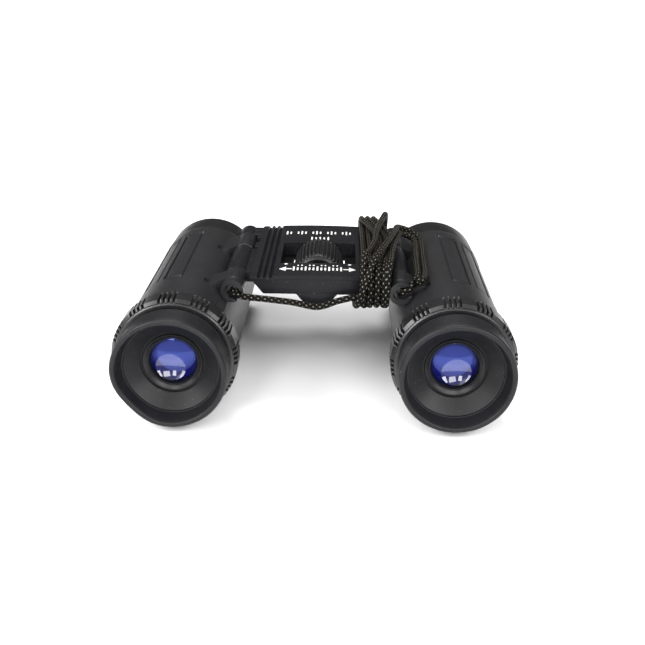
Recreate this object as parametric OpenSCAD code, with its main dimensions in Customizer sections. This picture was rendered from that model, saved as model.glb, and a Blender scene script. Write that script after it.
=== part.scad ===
// Compact folding binoculars: two roof-prism barrels on a double-hinged bridge with a central focus wheel.
// Frame: origin on the surface under the middle, +X to the right barrel, +Y out of the objectives, +Z up.
// Every piece is drawn with y = 0 at the eyecup rims and z = 0 at the barrel axes, then set in that frame.

/* [Overall] */
// Length from the eyecup rims to the front of the objective rings
body_len = 94.8; // [93:0.2:116]
// Distance between the two barrel axes when fully open
axis_span = 75.6; // [73:0.2:92]

/* [Barrel] */
// Outer diameter of the soft skin on a barrel
barrel_d = 31.6; // [31:0.2:34]
// Thickness of the skin
skin_wall = 0.9; // [0.7:0.1:1.2]
// Wall of the barrel tube under the skin
tube_wall = 1.5; // [1.2:0.1:1.8]
// Depth of the outlined panels in the skin
panel_depth = 0.45; // [0.2:0.05:0.6]
// Outer diameter over the pads of a grip ring
grip_d = 34.4; // [33.8:0.2:36]
// Distance from the eyecup rim to the grip ring
grip_y = 10; // [9.8:0.1:12]
// Length of a grip ring
grip_len = 9.6; // [8:0.2:11]
// Grooves in each group on a grip ring
grip_grooves = 4; // [2:1:5]

/* [Eyepiece] */
// Outer diameter of an eyecup's lip
eyecup_d = 31; // [30:0.2:32]
// Length of an eyecup
eyecup_len = 9.1; // [8.6:0.1:9.2]
// Depth of the crease between an eyecup's wall and its floor
crease_depth = 4.5; // [3.5:0.1:5]
// Diameter of the bezel round the eye lens
bezel_d = 16.4; // [15:0.2:17]
// Clear diameter of the eye lens
eye_clear_d = 12.8; // [11:0.2:13.6]
// Eyepiece travel each way as the dioptre ring turns
dioptre_travel = 0.6; // [0.3:0.05:0.7]

/* [Objective] */
// Outer diameter of an objective ring
ring_d = 31; // [30.6:0.1:31.4]
// Length of an objective ring
ring_len = 10.9; // [10:0.1:12]
// Clear diameter of an objective lens
objective_clear_d = 21; // [18:0.5:21]

/* [Hinge] */
// Sideways distance from a barrel axis to its hinge axis
hinge_in = 13.9; // [13.9:0.1:15]
// Height of the hinge axes above the barrel axes
hinge_rise = 13; // [13:0.1:14]
// Outer diameter of the hinge knuckles
knuckle_d = 6.6; // [6:0.1:6.6]
// Diameter of the drive rod that is also the hinge pin
rod_d = 3; // [2.5:0.1:3.1]
// Length of a barrel's front knuckle
front_knuckle_len = 8.2; // [6:0.1:10]
// Length of a barrel's rear knuckle
rear_knuckle_len = 12.4; // [12:0.1:14]
// Running clearance between a turning or sliding piece and its bore
run_gap = 0.05; // [0.02:0.01:0.08]

/* [Bridge] */
// Distance from the eyecup rims to the near end of the bridge
bridge_y = 33; // [31:0.2:36]
// Distance from the far end of the bridge to the front of the objective rings
bridge_far_gap = 10.8; // [10:0.2:14]
// Height of the bridge's flat top above the barrel axes
bridge_top = 16; // [15.8:0.1:16.6]
// Rise of the bridge's top from its edges to the middle
bridge_crown = 0.6; // [0.3:0.1:1]
// Thickness of the bridge at its edges
bridge_thick = 5; // [4.6:0.1:5.2]
// Wall of the bridge body
bridge_wall = 1.6; // [1.2:0.1:2]
// Outer radius of the trough that covers the focus spindle
trough_r = 4.3; // [4.2:0.1:4.6]

/* [Focus] */
// Diameter of the focus wheel over its knurls
wheel_d = 15.2; // [12.6:0.1:15.4]
// Length of the focus wheel
wheel_len = 17; // [14:0.5:18]
// Distance from the eyecup rims to the focus wheel
wheel_y = 45.7; // [45:0.1:48]
// Height of the focus spindle above the barrel axes
spindle_rise = 11.4; // [11.2:0.1:12]
// Diameter of the focus spindle
spindle_d = 3; // [2.4:0.1:3]
// Knurls round the focus wheel
knurls = 36; // [24:2:48]
// Travel of the objective cells each way as the focus wheel turns
focus_travel = 1.75; // [1:0.05:1.8]

/* [Strap] */
// Diameter of the strap cord
cord_d = 1.9; // [1.6:0.1:2.2]

/* [Hidden] */
$fn = 96;
cut = 0.5;

// Radii on the barrel, from the outside in
axis_h = grip_d / 2;
skin_r = barrel_d / 2;
tube_r = skin_r - skin_wall;
bore_r = tube_r - tube_wall;
slide_r = bore_r - run_gap;

// Places along the barrel
grip_end = grip_y + grip_len;
ring_y = body_len - ring_len;
groove_w = 0.5;
tube_y = grip_y + 0.2;
tube_end = body_len - 3.8;
skin_gap = 0.2;

// Hinge places: a front knuckle, the bridge's tube, a rear knuckle and the bridge's hump
knuckle_r = knuckle_d / 2;
rod_r = rod_d / 2;
rod_bore_r = rod_r + run_gap;
hinge_x = axis_span / 2 - hinge_in;
bridge_end = body_len - bridge_far_gap;
front_knuckle_y = bridge_y - 1;
front_knuckle_end = front_knuckle_y + front_knuckle_len;
hump_y = bridge_end - 8;
rear_knuckle_end = hump_y - 0.3;
rear_knuckle_y = rear_knuckle_end - rear_knuckle_len;
washer_t = 0.4;
washer_gap = 0.05;
lug_len = 3.2;
lug_y = front_knuckle_y - lug_len;
lug_mouth = [-40, 160];
mid_tube_y = front_knuckle_end + washer_t + 2 * washer_gap;
mid_tube_end = rear_knuckle_y - washer_t - 2 * washer_gap;
flute_r = knuckle_r + 0.3;
hinge_reach = sqrt(hinge_in * hinge_in + hinge_rise * hinge_rise);
hinge_lean = atan2(hinge_in, hinge_rise);

// Drive fork, in the open front part of the rear knuckle
fork_t = 2;
fork_y = rear_knuckle_y + 0.4 + focus_travel + 0.25;
fork_w = 4.6;
fork_slot_y = fork_y - focus_travel - 0.2;
fork_slot_end = fork_y + fork_t + focus_travel + 0.2;
fork_head_r = 2.5;
rod_neck_r = 1;

// Bridge section
bridge_edge = hinge_x - 4.7;
bridge_low = bridge_top - bridge_thick;
chamfer_in = 3.8;
crown_r = bridge_edge * bridge_edge / (2 * bridge_crown);
cavity_x = bridge_edge - 2.6;
cavity_top = bridge_top - bridge_wall;
cavity_y = bridge_y + 2.5;
cavity_end = bridge_end - bridge_wall;
plate_t = 1.3;
plate_x = cavity_x - 1.2;
trough_in_r = trough_r - 0.9;
ridge_pitch = 1.75;
ridge_first_x = bridge_edge - 2.5;
ridge_depth = 0.8;

// Focus wheel, its window, its spindle and the bearings
wheel_r = wheel_d / 2;
window_x = 11.2;
window_gap = 1;
window_y = wheel_y - window_gap;
window_end = wheel_y + wheel_len + window_gap + 0.8;
spindle_r = spindle_d / 2;
bush_r = 2.4;
bush_len = 3;
bulkhead_y = window_end + 1.4;
clip_y = bulkhead_y + bush_len + 0.2;
clip_t = 0.6;
screw_x = 10;
screw_places = [bridge_y + 7, bulkhead_y + 4];
screw_r = 0.8;
screw_head_r = 1.6;
nut_r = 2.4;
nut_len = 4.4;
yoke_t = 2.3;
yoke_y = hump_y + 2.1;
yoke_boss_r = nut_r + 0.6;
yoke_low = bridge_low + plate_t + 0.15;
yoke_high = cavity_top - 0.2;
rod_start = front_knuckle_y + focus_travel + 0.45;
rod_stop = yoke_y + yoke_t + 0.3;

// Eyepiece, from the eye inwards
eyepiece_r = slide_r;
bezel_r = bezel_d / 2;
eye_clear_r = eye_clear_d / 2;
bezel_y = eyecup_len - 1.1;
bezel_len = 2.4;
eye_lens_y = bezel_y + bezel_len;
eye_lens_r = eye_clear_r + 1;
eye_lens_t = 3.2;
field_lens_r = 9;
spacer_y = eye_lens_y + eye_lens_t;
spacer_t = 4.4;
field_lens_y = spacer_y + spacer_t;
field_lens_t = 3.4;
eyepiece_end = field_lens_y + field_lens_t + 0.6;
key_y = grip_y + grip_len / 2;
key_r = 0.8;
key_reach = tube_r + 0.4;

// Objective, from the fork forwards
objective_clear_r = objective_clear_d / 2;
objective_r = objective_clear_r + 0.8;
cell_y = fork_y - 0.8;
cell_end = tube_end - focus_travel - 1.2;
retainer_t = 2;
objective_t = 4.6;
objective_y = cell_end - retainer_t - objective_t;
cell_light_r = slide_r - 1;

// Prisms
holder_y = eyepiece_end + dioptre_travel + 2;
holder_len = 31;
prism_half = 7.2;
penta_y = holder_y + 2.5;
penta_len = 11;
roof_y = penta_y + penta_len + 0.8;
roof_len = 14;

// Strap: the front span's steps go from the left hinge axis to the winding, each a share of the free way and
// a fixed distance; the tail's steps start beside the winding and end on the right hinge axis; y is from the
// lug's rim and z from the hinge axis
cord_r = cord_d / 2;
bundle_x = bridge_edge - 7;
left_span_steps = [
    [0, 0, 1.1, 0], [0, 0.9, 1.1, -0.8], [0, 2.3, 1.2, -1.7], [0, 3.9, 1.6, -2.2],
    [0.078, 3.9, 2, -2.6], [0.187, 3.9, 2.2, -3], [0.296, 3.9, 2.2, -3.4], [0.405, 3.9, 2.2, -3.8],
    [0.498, 3.9, 2.2, -4.4], [0.567, 3.9, 2.2, -4.9], [0.636, 3.9, 2.2, -5.1], [0.71, 3.9, 2.2, -4.5],
    [0.794, 3.9, 2.2, -3.4], [0.879, 3.9, 2.2, -2.6], [0.95, 3.9, 2.2, -2.1], [1, 3.9, 2.2, -2.1]
];
right_tail_steps = [
    [-3.4, 30.2, 5.4], [-1.9, 30.2, 5.4], [0.3, 29.1, 5.4], [2.5, 26.6, 5], [4.1, 22.6, 4.2],
    [4.7, 18.6, 3.6], [5, 14.6, 3.3], [5.1, 10.6, 3.2], [5, 6.6, 3.2], [4.7, 3.6, 3], [3.9, 1.7, 2.2],
    [2.7, 1, 1.2], [1.3, 1, 0.5], [0, 1.1, 0]
];
left_span_route = [
    for (step = left_span_steps)
        [-hinge_x + step[0] * (hinge_x + bundle_x - 4) + step[1], lug_y + step[2], hinge_rise + step[3]]
];
right_tail_route = [
    for (step = right_tail_steps)
        [hinge_x + step[0], lug_y + step[1], hinge_rise + step[2]]
];
bundle_w = 8.2;
bundle_over = 4;
bundle_under = 3;

// The point on a lens face at distance r from the axis, for a face that bulges by sag at its middle
function bulge(r, edge_r, sag) = sag * (1 - (r / edge_r) * (r / edge_r));

// A lens outline for rotate_extrude, both faces bulging outwards
function lens_outline(edge_r, thick, sag_near, sag_far) = concat(
    [for (i = [0:8]) [edge_r * i / 8, -bulge(edge_r * i / 8, edge_r, sag_near)]],
    [for (i = [8:-1:0]) [edge_r * i / 8, thick + bulge(edge_r * i / 8, edge_r, sag_far)]]
);

// Tube swept along a route, with a ring of eight corners at every point
function unit(v) = v / norm(v);
function heading(route, i) = unit(route[min(i + 1, len(route) - 1)] - route[max(i - 1, 0)]);
function side_of(t) = unit(cross(t, abs(t[2]) < 0.9 ? [0, 0, 1] : [0, 1, 0]));
function tube_points(route, r) = [
    for (i = [0:len(route) - 1], k = [0:7])
        let (t = heading(route, i), u = side_of(t), v = cross(t, u))
            route[i] + r * (cos(45 * k) * u + sin(45 * k) * v)
];
function tube_faces(n) = concat(
    [[for (k = [0:7]) k]],
    [[for (k = [7:-1:0]) 8 * (n - 1) + k]],
    [for (i = [0:n - 2], k = [0:7])
        [8 * i + k, 8 * (i + 1) + k, 8 * (i + 1) + (k + 1) % 8, 8 * i + (k + 1) % 8]]
);

module swept_cord(route) {
    polyhedron(tube_points(route, cord_r), tube_faces(len(route)), convexity = 6);
}

// Sets a piece drawn from the eyecup rims and barrel axes in the part's own frame
module in_frame() {
    translate([0, -body_len / 2, axis_h])
        children();
}

// Sets a piece drawn on the left barrel's own axis; side is -1 for the left barrel and 1 for the right
module on_barrel(side) {
    in_frame()
        translate([side * axis_span / 2, 0, 0])
            mirror([side > 0 ? 1 : 0, 0, 0])
                children();
}

// Moves to the hinge axis of a piece drawn on the left barrel's axis
module at_hinge() {
    translate([hinge_in, 0, hinge_rise])
        children();
}

// Moves to both hinge axes of a piece drawn on the bridge
module at_both_hinges() {
    for (side = [-1, 1])
        mirror([side > 0 ? 1 : 0, 0, 0])
            translate([-hinge_x, 0, hinge_rise])
                children();
}

module rod(y0, y1, r) {
    translate([0, y1, 0])
        rotate([90, 0, 0])
            cylinder(h = y1 - y0, r = r);
}

module ring(y0, y1, r_out, r_in) {
    difference() {
        rod(y0, y1, r_out);
        rod(y0 - cut, y1 + cut, r_in);
    }
}

// Extrudes an x-z section between two places along the barrel
module section(y0, y1) {
    translate([0, y1, 0])
        rotate([90, 0, 0])
            linear_extrude(y1 - y0)
                children();
}

// Turns an outline of [radius, y] points round the barrel axis
module turned(outline) {
    rotate([-90, 0, 0])
        rotate_extrude()
            polygon(outline);
}

module block(x0, x1, y0, y1, z0, z1) {
    translate([x0, y0, z0])
        cube([x1 - x0, y1 - y0, z1 - z0]);
}

// ---- Bridge ----

module bridge_section() {
    difference() {
        intersection() {
            polygon([
                [-bridge_edge, bridge_top + bridge_crown + 1], [-bridge_edge, bridge_top - 0.4],
                [-bridge_edge + chamfer_in, bridge_low], [bridge_edge - chamfer_in, bridge_low],
                [bridge_edge, bridge_top - 0.4], [bridge_edge, bridge_top + bridge_crown + 1]
            ]);
            translate([0, bridge_top + bridge_crown - crown_r])
                circle(r = crown_r, $fn = 720);
        }
        for (side = [-1, 1], i = [0:2])
            translate([side * (ridge_first_x - i * ridge_pitch), bridge_top + 0.05])
                polygon([[-0.6, 0.6], [-0.6, 0], [0, -ridge_depth], [0.6, 0], [0.6, 0.6]]);
    }
}

module bridge_body() {
    color([0.13, 0.13, 0.14])
        in_frame()
            difference() {
                union() {
                    difference() {
                        union() {
                            section(bridge_y, bridge_end)
                                bridge_section();
                            for (y = [bridge_y, cavity_end])
                                translate([0, 0, spindle_rise])
                                    rod(y, y == bridge_y ? cavity_y : bridge_end, trough_r);
                        }
                        block(-cavity_x, cavity_x, cavity_y, cavity_end, 0, cavity_top);
                        block(-window_x, window_x, window_y, window_end, 0, bridge_top + 3);
                    }
                    translate([0, 0, spindle_rise])
                        rod(bulkhead_y, bulkhead_y + bush_len, trough_in_r - 0.1);
                    block(-5, 5, bulkhead_y, bulkhead_y + bush_len, bridge_low + plate_t, cavity_top + 0.3);
                    at_both_hinges() {
                        rod(mid_tube_y, mid_tube_end, knuckle_r);
                        rod(hump_y, bridge_end, knuckle_r);
                        block(0, 5.6, mid_tube_y, mid_tube_end, -1.4, 2.7);
                        block(0, 5.6, hump_y, bridge_end, -1.4, 2.7);
                    }
                    for (x = [-screw_x, screw_x], y = screw_places)
                        translate([x, y, bridge_low + plate_t])
                            cylinder(h = cavity_top - bridge_low - plate_t + 0.3, r = 1.8);
                }
                at_both_hinges() {
                    rod(mid_tube_y - cut, mid_tube_end + cut, rod_bore_r);
                    rod(hump_y - cut, hump_y + 1, rod_bore_r);
                    rod(hump_y + 0.2, bridge_end - 0.6, fork_head_r);
                    block(0, 8, hump_y + 0.2, bridge_end - bridge_wall, -1.3, 1.4);
                }
                translate([0, 0, spindle_rise]) {
                    rod(cavity_y - 1.4, bulkhead_y + 1, spindle_r + 0.6);
                    rod(cavity_y - 1.4, cavity_y + cut, bush_r);
                    rod(bulkhead_y - cut, bulkhead_y + bush_len + cut, bush_r);
                }
                for (x = [-screw_x, screw_x], y = screw_places)
                    translate([x, y, bridge_low])
                        cylinder(h = 3, r = screw_r);
            }
}

module bridge_bottom_plate() {
    color([0.1, 0.1, 0.11])
        in_frame()
            difference() {
                union() {
                    block(-plate_x, plate_x, cavity_y, cavity_end, bridge_low, bridge_low + plate_t);
                    translate([0, 0, spindle_rise])
                        rod(cavity_y, cavity_end, trough_r);
                }
                translate([0, 0, spindle_rise])
                    rod(cavity_y - cut, cavity_end + cut, trough_in_r);
                block(-plate_x, plate_x, cavity_y - cut, cavity_end + cut, bridge_low + plate_t, 20);
                block(-wheel_r - 0.6, wheel_r + 0.6, window_y, window_end, 0, 20);
                for (x = [-screw_x, screw_x], y = screw_places)
                    translate([x, y, bridge_low - cut])
                        cylinder(h = plate_t + 2 * cut, r = 1);
            }
}

module bottom_screws() {
    color("silver")
        in_frame()
            for (x = [-screw_x, screw_x], y = screw_places)
                translate([x, y, bridge_low])
                    difference() {
                        union() {
                            translate([0, 0, -0.7])
                                cylinder(h = 0.7, r = screw_head_r);
                            cylinder(h = 2.8, r = screw_r);
                        }
                        for (turn = [0, 90])
                            rotate([0, 0, turn])
                                translate([-1, -0.2, -1.2])
                                    cube([2, 0.4, 0.9]);
                    }
}

module spindle_bushes() {
    color("goldenrod")
        in_frame()
            translate([0, 0, spindle_rise]) {
                ring(cavity_y - 1.4, cavity_y + 1, bush_r, spindle_r + run_gap);
                ring(bulkhead_y, bulkhead_y + bush_len, bush_r, spindle_r + run_gap);
            }
}

module hinge_washers() {
    color("silver")
        in_frame()
            at_both_hinges()
                for (y = [front_knuckle_end + washer_gap, mid_tube_end + washer_gap])
                    ring(y, y + washer_t, knuckle_r - 0.3, rod_bore_r);
}

// ---- Focus drive ----

module knurl_outline() {
    step = 360 / knurls;
    polygon([
        for (i = [0:knurls - 1], p = [[0.1, -0.6], [0.3, 0.3], [0.8, 0.3], [1, -0.6]])
            (wheel_r + p[1]) * [cos(step * (i + p[0])), sin(step * (i + p[0]))]
    ]);
}

module focus_wheel() {
    color([0.15, 0.15, 0.16])
        in_frame()
            translate([0, 0, spindle_rise])
                difference() {
                    intersection() {
                        section(wheel_y, wheel_y + wheel_len)
                            knurl_outline();
                        turned([
                            [0, wheel_y], [wheel_r - 1.5, wheel_y], [wheel_r - 0.5, wheel_y + 0.6],
                            [wheel_r, wheel_y + 1.8], [wheel_r, wheel_y + wheel_len - 1.5],
                            [wheel_r - 0.8, wheel_y + wheel_len], [0, wheel_y + wheel_len]
                        ]);
                    }
                    ring(wheel_y - cut, wheel_y + 2, wheel_r - 2.4, spindle_r + 1.2);
                    rod(wheel_y - cut, wheel_y + wheel_len + cut, spindle_r);
                }
}

module focus_spindle() {
    color("silver")
        in_frame()
            translate([0, 0, spindle_rise])
                difference() {
                    rod(cavity_y - 1.2, cavity_end - 0.8, spindle_r);
                    ring(clip_y, clip_y + clip_t, spindle_r + 1, spindle_r - 0.3);
                }
}

module spindle_clip() {
    color("dimgray")
        in_frame()
            translate([0, 0, spindle_rise])
                difference() {
                    ring(clip_y, clip_y + clip_t, spindle_r + 1, spindle_r - 0.3);
                    block(-0.8, 0.8, clip_y - cut, clip_y + clip_t + cut, 0, 5);
                }
}

module focus_nut() {
    color("goldenrod")
        in_frame()
            translate([0, 0, spindle_rise])
                ring(yoke_y + yoke_t - nut_len, yoke_y + yoke_t, nut_r, spindle_r + run_gap);
}

module focus_yoke() {
    color([0.3, 0.3, 0.32])
        in_frame()
            difference() {
                union() {
                    block(-hinge_x, hinge_x, yoke_y, yoke_y + yoke_t, yoke_low, yoke_high);
                    at_both_hinges()
                        rod(yoke_y, yoke_y + yoke_t, fork_head_r - 0.2);
                    translate([0, 0, spindle_rise])
                        rod(yoke_y, yoke_y + yoke_t, yoke_boss_r);
                }
                at_both_hinges()
                    rod(yoke_y - cut, yoke_y + yoke_t + cut, rod_r);
                translate([0, 0, spindle_rise])
                    rod(yoke_y - cut, yoke_y + yoke_t + cut, nut_r);
            }
}

module drive_rods() {
    color("silver")
        in_frame()
            at_both_hinges()
                difference() {
                    rod(rod_start, rod_stop, rod_r);
                    ring(fork_y - 0.05, fork_y + fork_t + 0.05, rod_r + 1, rod_neck_r);
                }
}

// ---- Barrels ----

// The arm that carries a knuckle, in the x-z section of the left barrel
module arm_section() {
    polygon([
        [5.2, 12.4], [(skin_r + 0.05) * sin(26), (skin_r + 0.05) * cos(26)],
        [hinge_in - 1.5, hinge_rise + knuckle_r - 0.7], [hinge_in, hinge_rise],
        [hinge_in - 1.6, hinge_rise - knuckle_r + 0.8], [9.2, 10]
    ]);
}

module barrel_frame(side) {
    color([0.16, 0.16, 0.17])
        on_barrel(side)
            difference() {
                union() {
                    rod(tube_y, tube_end, tube_r);
                    for (span = [[front_knuckle_y, front_knuckle_end], [rear_knuckle_y, rear_knuckle_end]]) {
                        section(span[0], span[1])
                            arm_section();
                        at_hinge()
                            rod(span[0], span[1], knuckle_r);
                    }
                }
                rod(tube_y - cut, tube_end + cut, bore_r);
                at_hinge()
                    rod(front_knuckle_y - cut, rear_knuckle_end + cut, rod_bore_r);
                fork_opening();
                if (side > 0)
                    block(-0.9, 0.9, key_y - 1.6, key_y + 1.6, -tube_r - 1, 0);
            }
}

// The slot through tube, skin and knuckle in which the drive fork slides
module fork_opening() {
    rotate([0, hinge_lean, 0])
        block(-fork_w / 2 - 0.2, fork_w / 2 + 0.2, fork_slot_y, fork_slot_end, bore_r - 2, hinge_reach);
    at_hinge()
        rod(fork_slot_y, fork_slot_end, fork_head_r + 0.2);
}

// A recess between two angles from the top towards the hinge, between two places along the barrel
module skin_recess(from_angle, to_angle, y0, y1, depth) {
    rotate([0, to_angle, 0])
        translate([0, y1, 0])
            rotate([90, 0, 0])
                rotate([0, 0, 90])
                    rotate_extrude(angle = to_angle - from_angle)
                        translate([skin_r - depth, 0])
                            square([depth + 1, y1 - y0]);
}

module skin_panels() {
    panel_end = body_len - 17.3;
    skin_recess(-24, -2, 33.5, panel_end, panel_depth);
    for (start = [-50, -76, -102, -128, -154])
        skin_recess(start, start + 20, 33.5, panel_end, panel_depth);
}

module barrel_skin(side) {
    color([0.14, 0.14, 0.15])
        on_barrel(side)
            difference() {
                ring(grip_end + skin_gap, ring_y - groove_w, skin_r, tube_r);
                skin_panels();
                at_hinge()
                    rod(lug_y - 1, ring_y, flute_r);
                for (span = [[front_knuckle_y, front_knuckle_end], [rear_knuckle_y, rear_knuckle_end]]) {
                    section(span[0], span[1])
                        arm_section();
                    section(span[0] - 0.1, span[0] + 3.4)
                        polygon([
                            [tube_r * sin(20), tube_r * cos(20)], [18 * sin(20), 18 * cos(20)],
                            [18 * sin(28), 18 * cos(28)], [tube_r * sin(28), tube_r * cos(28)]
                        ]);
                }
                fork_opening();
            }
}

module objective_ring(side) {
    color([0.12, 0.12, 0.13])
        on_barrel(side)
            turned([
                [tube_r, ring_y], [ring_d / 2 - 0.3, ring_y], [ring_d / 2, ring_y + 0.3],
                [ring_d / 2, body_len - 0.5], [ring_d / 2 - 0.5, body_len], [ring_d / 2 - 1.6, body_len],
                [objective_clear_r + 1.2, tube_end + 0.8], [objective_clear_r + 1.2, tube_end],
                [tube_r, tube_end]
            ]);
}

module grip_outline() {
    difference() {
        circle(r = grip_d / 2);
        for (group = [0:11], groove = [0:grip_grooves - 1])
            rotate(30 * group + 4.4 + 13.8 * (groove / (grip_grooves - 1) - 0.5))
                translate([grip_d / 2, 0])
                    polygon([[-0.9, -0.22], [0.4, -0.45], [0.4, 0.45], [-0.9, 0.22]]);
    }
}

module grip_ring(side, recessed) {
    color([0.12, 0.12, 0.13])
        on_barrel(side)
            difference() {
                intersection() {
                    section(grip_y, grip_end)
                        grip_outline();
                    turned([
                        [0, grip_y], [grip_d / 2 - 1.2, grip_y], [grip_d / 2, grip_y + 1.4],
                        [grip_d / 2, grip_end - 3.2], [skin_r, grip_end], [0, grip_end]
                    ]);
                }
                rod(grip_y - cut, grip_end + cut, tube_r + (recessed ? run_gap : 0));
                if (recessed)
                    rod(key_y - 1.8, key_y + 1.8, key_reach + 0.2);
            }
}

module strap_lug(side) {
    mouth = lug_mouth[side > 0 ? 1 : 0];
    floor_y = front_knuckle_y - 0.9;
    color([0.14, 0.14, 0.15])
        on_barrel(side)
            at_hinge() {
                difference() {
                    rod(lug_y, front_knuckle_y, knuckle_r);
                    rod(lug_y - cut, floor_y, knuckle_r - 1);
                    rotate([0, -mouth, 0])
                        block(0, knuckle_r + 1, lug_y - cut, floor_y, -1.15, 1.15);
                    rod(floor_y - cut, front_knuckle_y + cut, rod_r);
                }
                rotate([0, -mouth, 0])
                    block(-1.9, -1, lug_y + 0.4, floor_y, 1.2 - knuckle_r, knuckle_r - 1.2);
            }
}

module prism_holder(side) {
    color([0.2, 0.2, 0.2])
        on_barrel(side)
            difference() {
                rod(holder_y, holder_y + holder_len, bore_r);
                rod(holder_y - cut, holder_y + holder_len + cut, prism_half - 0.7);
                block(-prism_half, prism_half, penta_y, roof_y + roof_len, -prism_half - 1.5, bore_r + 1);
            }
}

module half_penta_prism(side) {
    color([0.75, 0.85, 0.9])
        on_barrel(side)
            rotate([0, 90, 0])
                translate([0, 0, -prism_half])
                    linear_extrude(2 * prism_half)
                        polygon([
                            [prism_half, penta_y], [-prism_half, penta_y],
                            [-prism_half, penta_y + 4], [prism_half, penta_y + penta_len]
                        ]);
}

module roof_prism(side) {
    color([0.75, 0.85, 0.9])
        on_barrel(side)
            rotate([0, 90, 0])
                translate([0, 0, -prism_half])
                    linear_extrude(2 * prism_half)
                        polygon([
                            [-prism_half, roof_y - 6], [prism_half, roof_y + 1],
                            [prism_half, roof_y + roof_len], [-prism_half + 4, roof_y + roof_len],
                            [-prism_half, roof_y + roof_len - 5]
                        ]);
}

// ---- Eyepieces ----

module eyepiece_tube(side) {
    color([0.1, 0.1, 0.11])
        on_barrel(side)
            difference() {
                rod(eyecup_len - 0.4, eyepiece_end, eyepiece_r);
                rod(eyecup_len - 1, eye_lens_y, bezel_r);
                rod(eye_lens_y - cut, spacer_y, eye_lens_r);
                rod(spacer_y, eyepiece_end + cut, field_lens_r);
                if (side > 0)
                    translate([0, key_y, -eyepiece_r + 1.2])
                        rotate([180, 0, 0])
                            cylinder(h = 3, r = key_r);
            }
}

module bezel(side) {
    color([0.08, 0.08, 0.09])
        on_barrel(side)
            turned([
                [bezel_r, bezel_y + 0.3], [bezel_r, eye_lens_y], [eye_clear_r, eye_lens_y],
                [eye_clear_r, eye_lens_y - 0.8], [eye_clear_r + 0.5, bezel_y], [bezel_r - 0.3, bezel_y]
            ]);
}

module eye_lens(side) {
    color([0.15, 0.2, 0.5, 0.8])
        on_barrel(side)
            translate([0, eye_lens_y, 0])
                turned(lens_outline(eye_clear_r, eye_lens_t, 1.5, 0));
}

module lens_spacer(side) {
    color([0.1, 0.1, 0.1])
        on_barrel(side)
            ring(spacer_y, spacer_y + spacer_t, field_lens_r, field_lens_r - 1.4);
}

module field_lens(side) {
    color([0.6, 0.7, 0.9, 0.8])
        on_barrel(side)
            translate([0, field_lens_y, 0])
                turned(lens_outline(field_lens_r, field_lens_t, 0, 0.6));
}

module eyecup(side) {
    lip_r = eyecup_d / 2;
    wall_r = lip_r - 0.3;
    color([0.12, 0.12, 0.12])
        on_barrel(side)
            turned([
                [bezel_r + 0.5, eyecup_len - 1], [lip_r - 2.6, crease_depth], [lip_r - 1.6, 0.9],
                [lip_r - 1.3, 0.2], [lip_r - 0.9, 0], [lip_r - 0.3, 0.1], [lip_r, 0.7], [lip_r - 0.1, 1.5],
                [wall_r - 0.1, 1.8], [wall_r, 2.4], [wall_r, eyecup_len], [eyepiece_r, eyecup_len],
                [eyepiece_r, eyecup_len - 0.4], [bezel_r + 0.5, eyecup_len - 0.4]
            ]);
}

module dioptre_key() {
    color("goldenrod")
        on_barrel(1)
            translate([0, key_y, -eyepiece_r + 1.2])
                rotate([180, 0, 0])
                    cylinder(h = key_reach - eyepiece_r + 1.2, r = key_r);
}

// ---- Objectives ----

module objective_cell(side) {
    color([0.1, 0.1, 0.11])
        on_barrel(side)
            difference() {
                rod(cell_y, cell_end, slide_r);
                rod(cell_y - cut, objective_y - 2, cell_light_r);
                rod(objective_y - 2 - cut, cell_end, objective_clear_r);
                rod(objective_y, cell_end + cut, objective_r);
                rotate([0, hinge_lean, 0])
                    block(-fork_w / 2, fork_w / 2, fork_y, fork_y + fork_t, cell_light_r - 1, bore_r + 1);
            }
}

module objective_lens(side) {
    color([0.4, 0.5, 0.8, 0.8])
        on_barrel(side)
            translate([0, objective_y, 0])
                turned(lens_outline(objective_r, objective_t, 0, 0));
}

module objective_retainer(side) {
    color([0.1, 0.1, 0.1])
        on_barrel(side)
            ring(cell_end - retainer_t, cell_end, objective_r, objective_clear_r);
}

module drive_fork(side) {
    color("silver")
        on_barrel(side)
            difference() {
                union() {
                    rotate([0, hinge_lean, 0])
                        block(-fork_w / 2, fork_w / 2, fork_y, fork_y + fork_t, cell_light_r,
                            hinge_reach - 1.4);
                    at_hinge()
                        rod(fork_y, fork_y + fork_t, fork_head_r);
                }
                rod(fork_y - cut, fork_y + fork_t + cut, cell_light_r);
                at_hinge()
                    rod(fork_y - cut, fork_y + fork_t + cut, rod_neck_r + run_gap);
                rotate([0, hinge_lean, 0])
                    translate([0, 0, hinge_reach])
                        block(-rod_neck_r - run_gap, rod_neck_r + run_gap, fork_y - cut,
                            fork_y + fork_t + cut, 0, 5);
            }
}

// ---- Strap ----

module strap_left_span() {
    color([0.08, 0.08, 0.08])
        in_frame()
            swept_cord(left_span_route);
}

module strap_right_tail() {
    color([0.08, 0.08, 0.08])
        in_frame()
            swept_cord(right_tail_route);
}

module rounded_outline(y0, y1, z0, z1, r) {
    hull()
        for (y = [y0 + r, y1 - r], z = [z0 + r, z1 - r])
            translate([y, z])
                circle(r = r, $fn = 32);
}

module strap_bundle() {
    color([0.08, 0.08, 0.08])
        in_frame()
            translate([bundle_x, 0, 0])
                rotate([90, 0, 90])
                    linear_extrude(bundle_w)
                        difference() {
                            rounded_outline(bridge_y - 3.4, bridge_end + 3.4, bridge_low - bundle_under,
                                bridge_top + bundle_over, 3);
                            rounded_outline(bridge_y - 0.3, bridge_end + 0.3, bridge_low - 1,
                                bridge_top + 0.6, 0.4);
                        }
}

bridge_body();
bridge_bottom_plate();
bottom_screws();
spindle_bushes();
hinge_washers();
focus_wheel();
focus_spindle();
spindle_clip();
focus_nut();
focus_yoke();
drive_rods();

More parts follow.
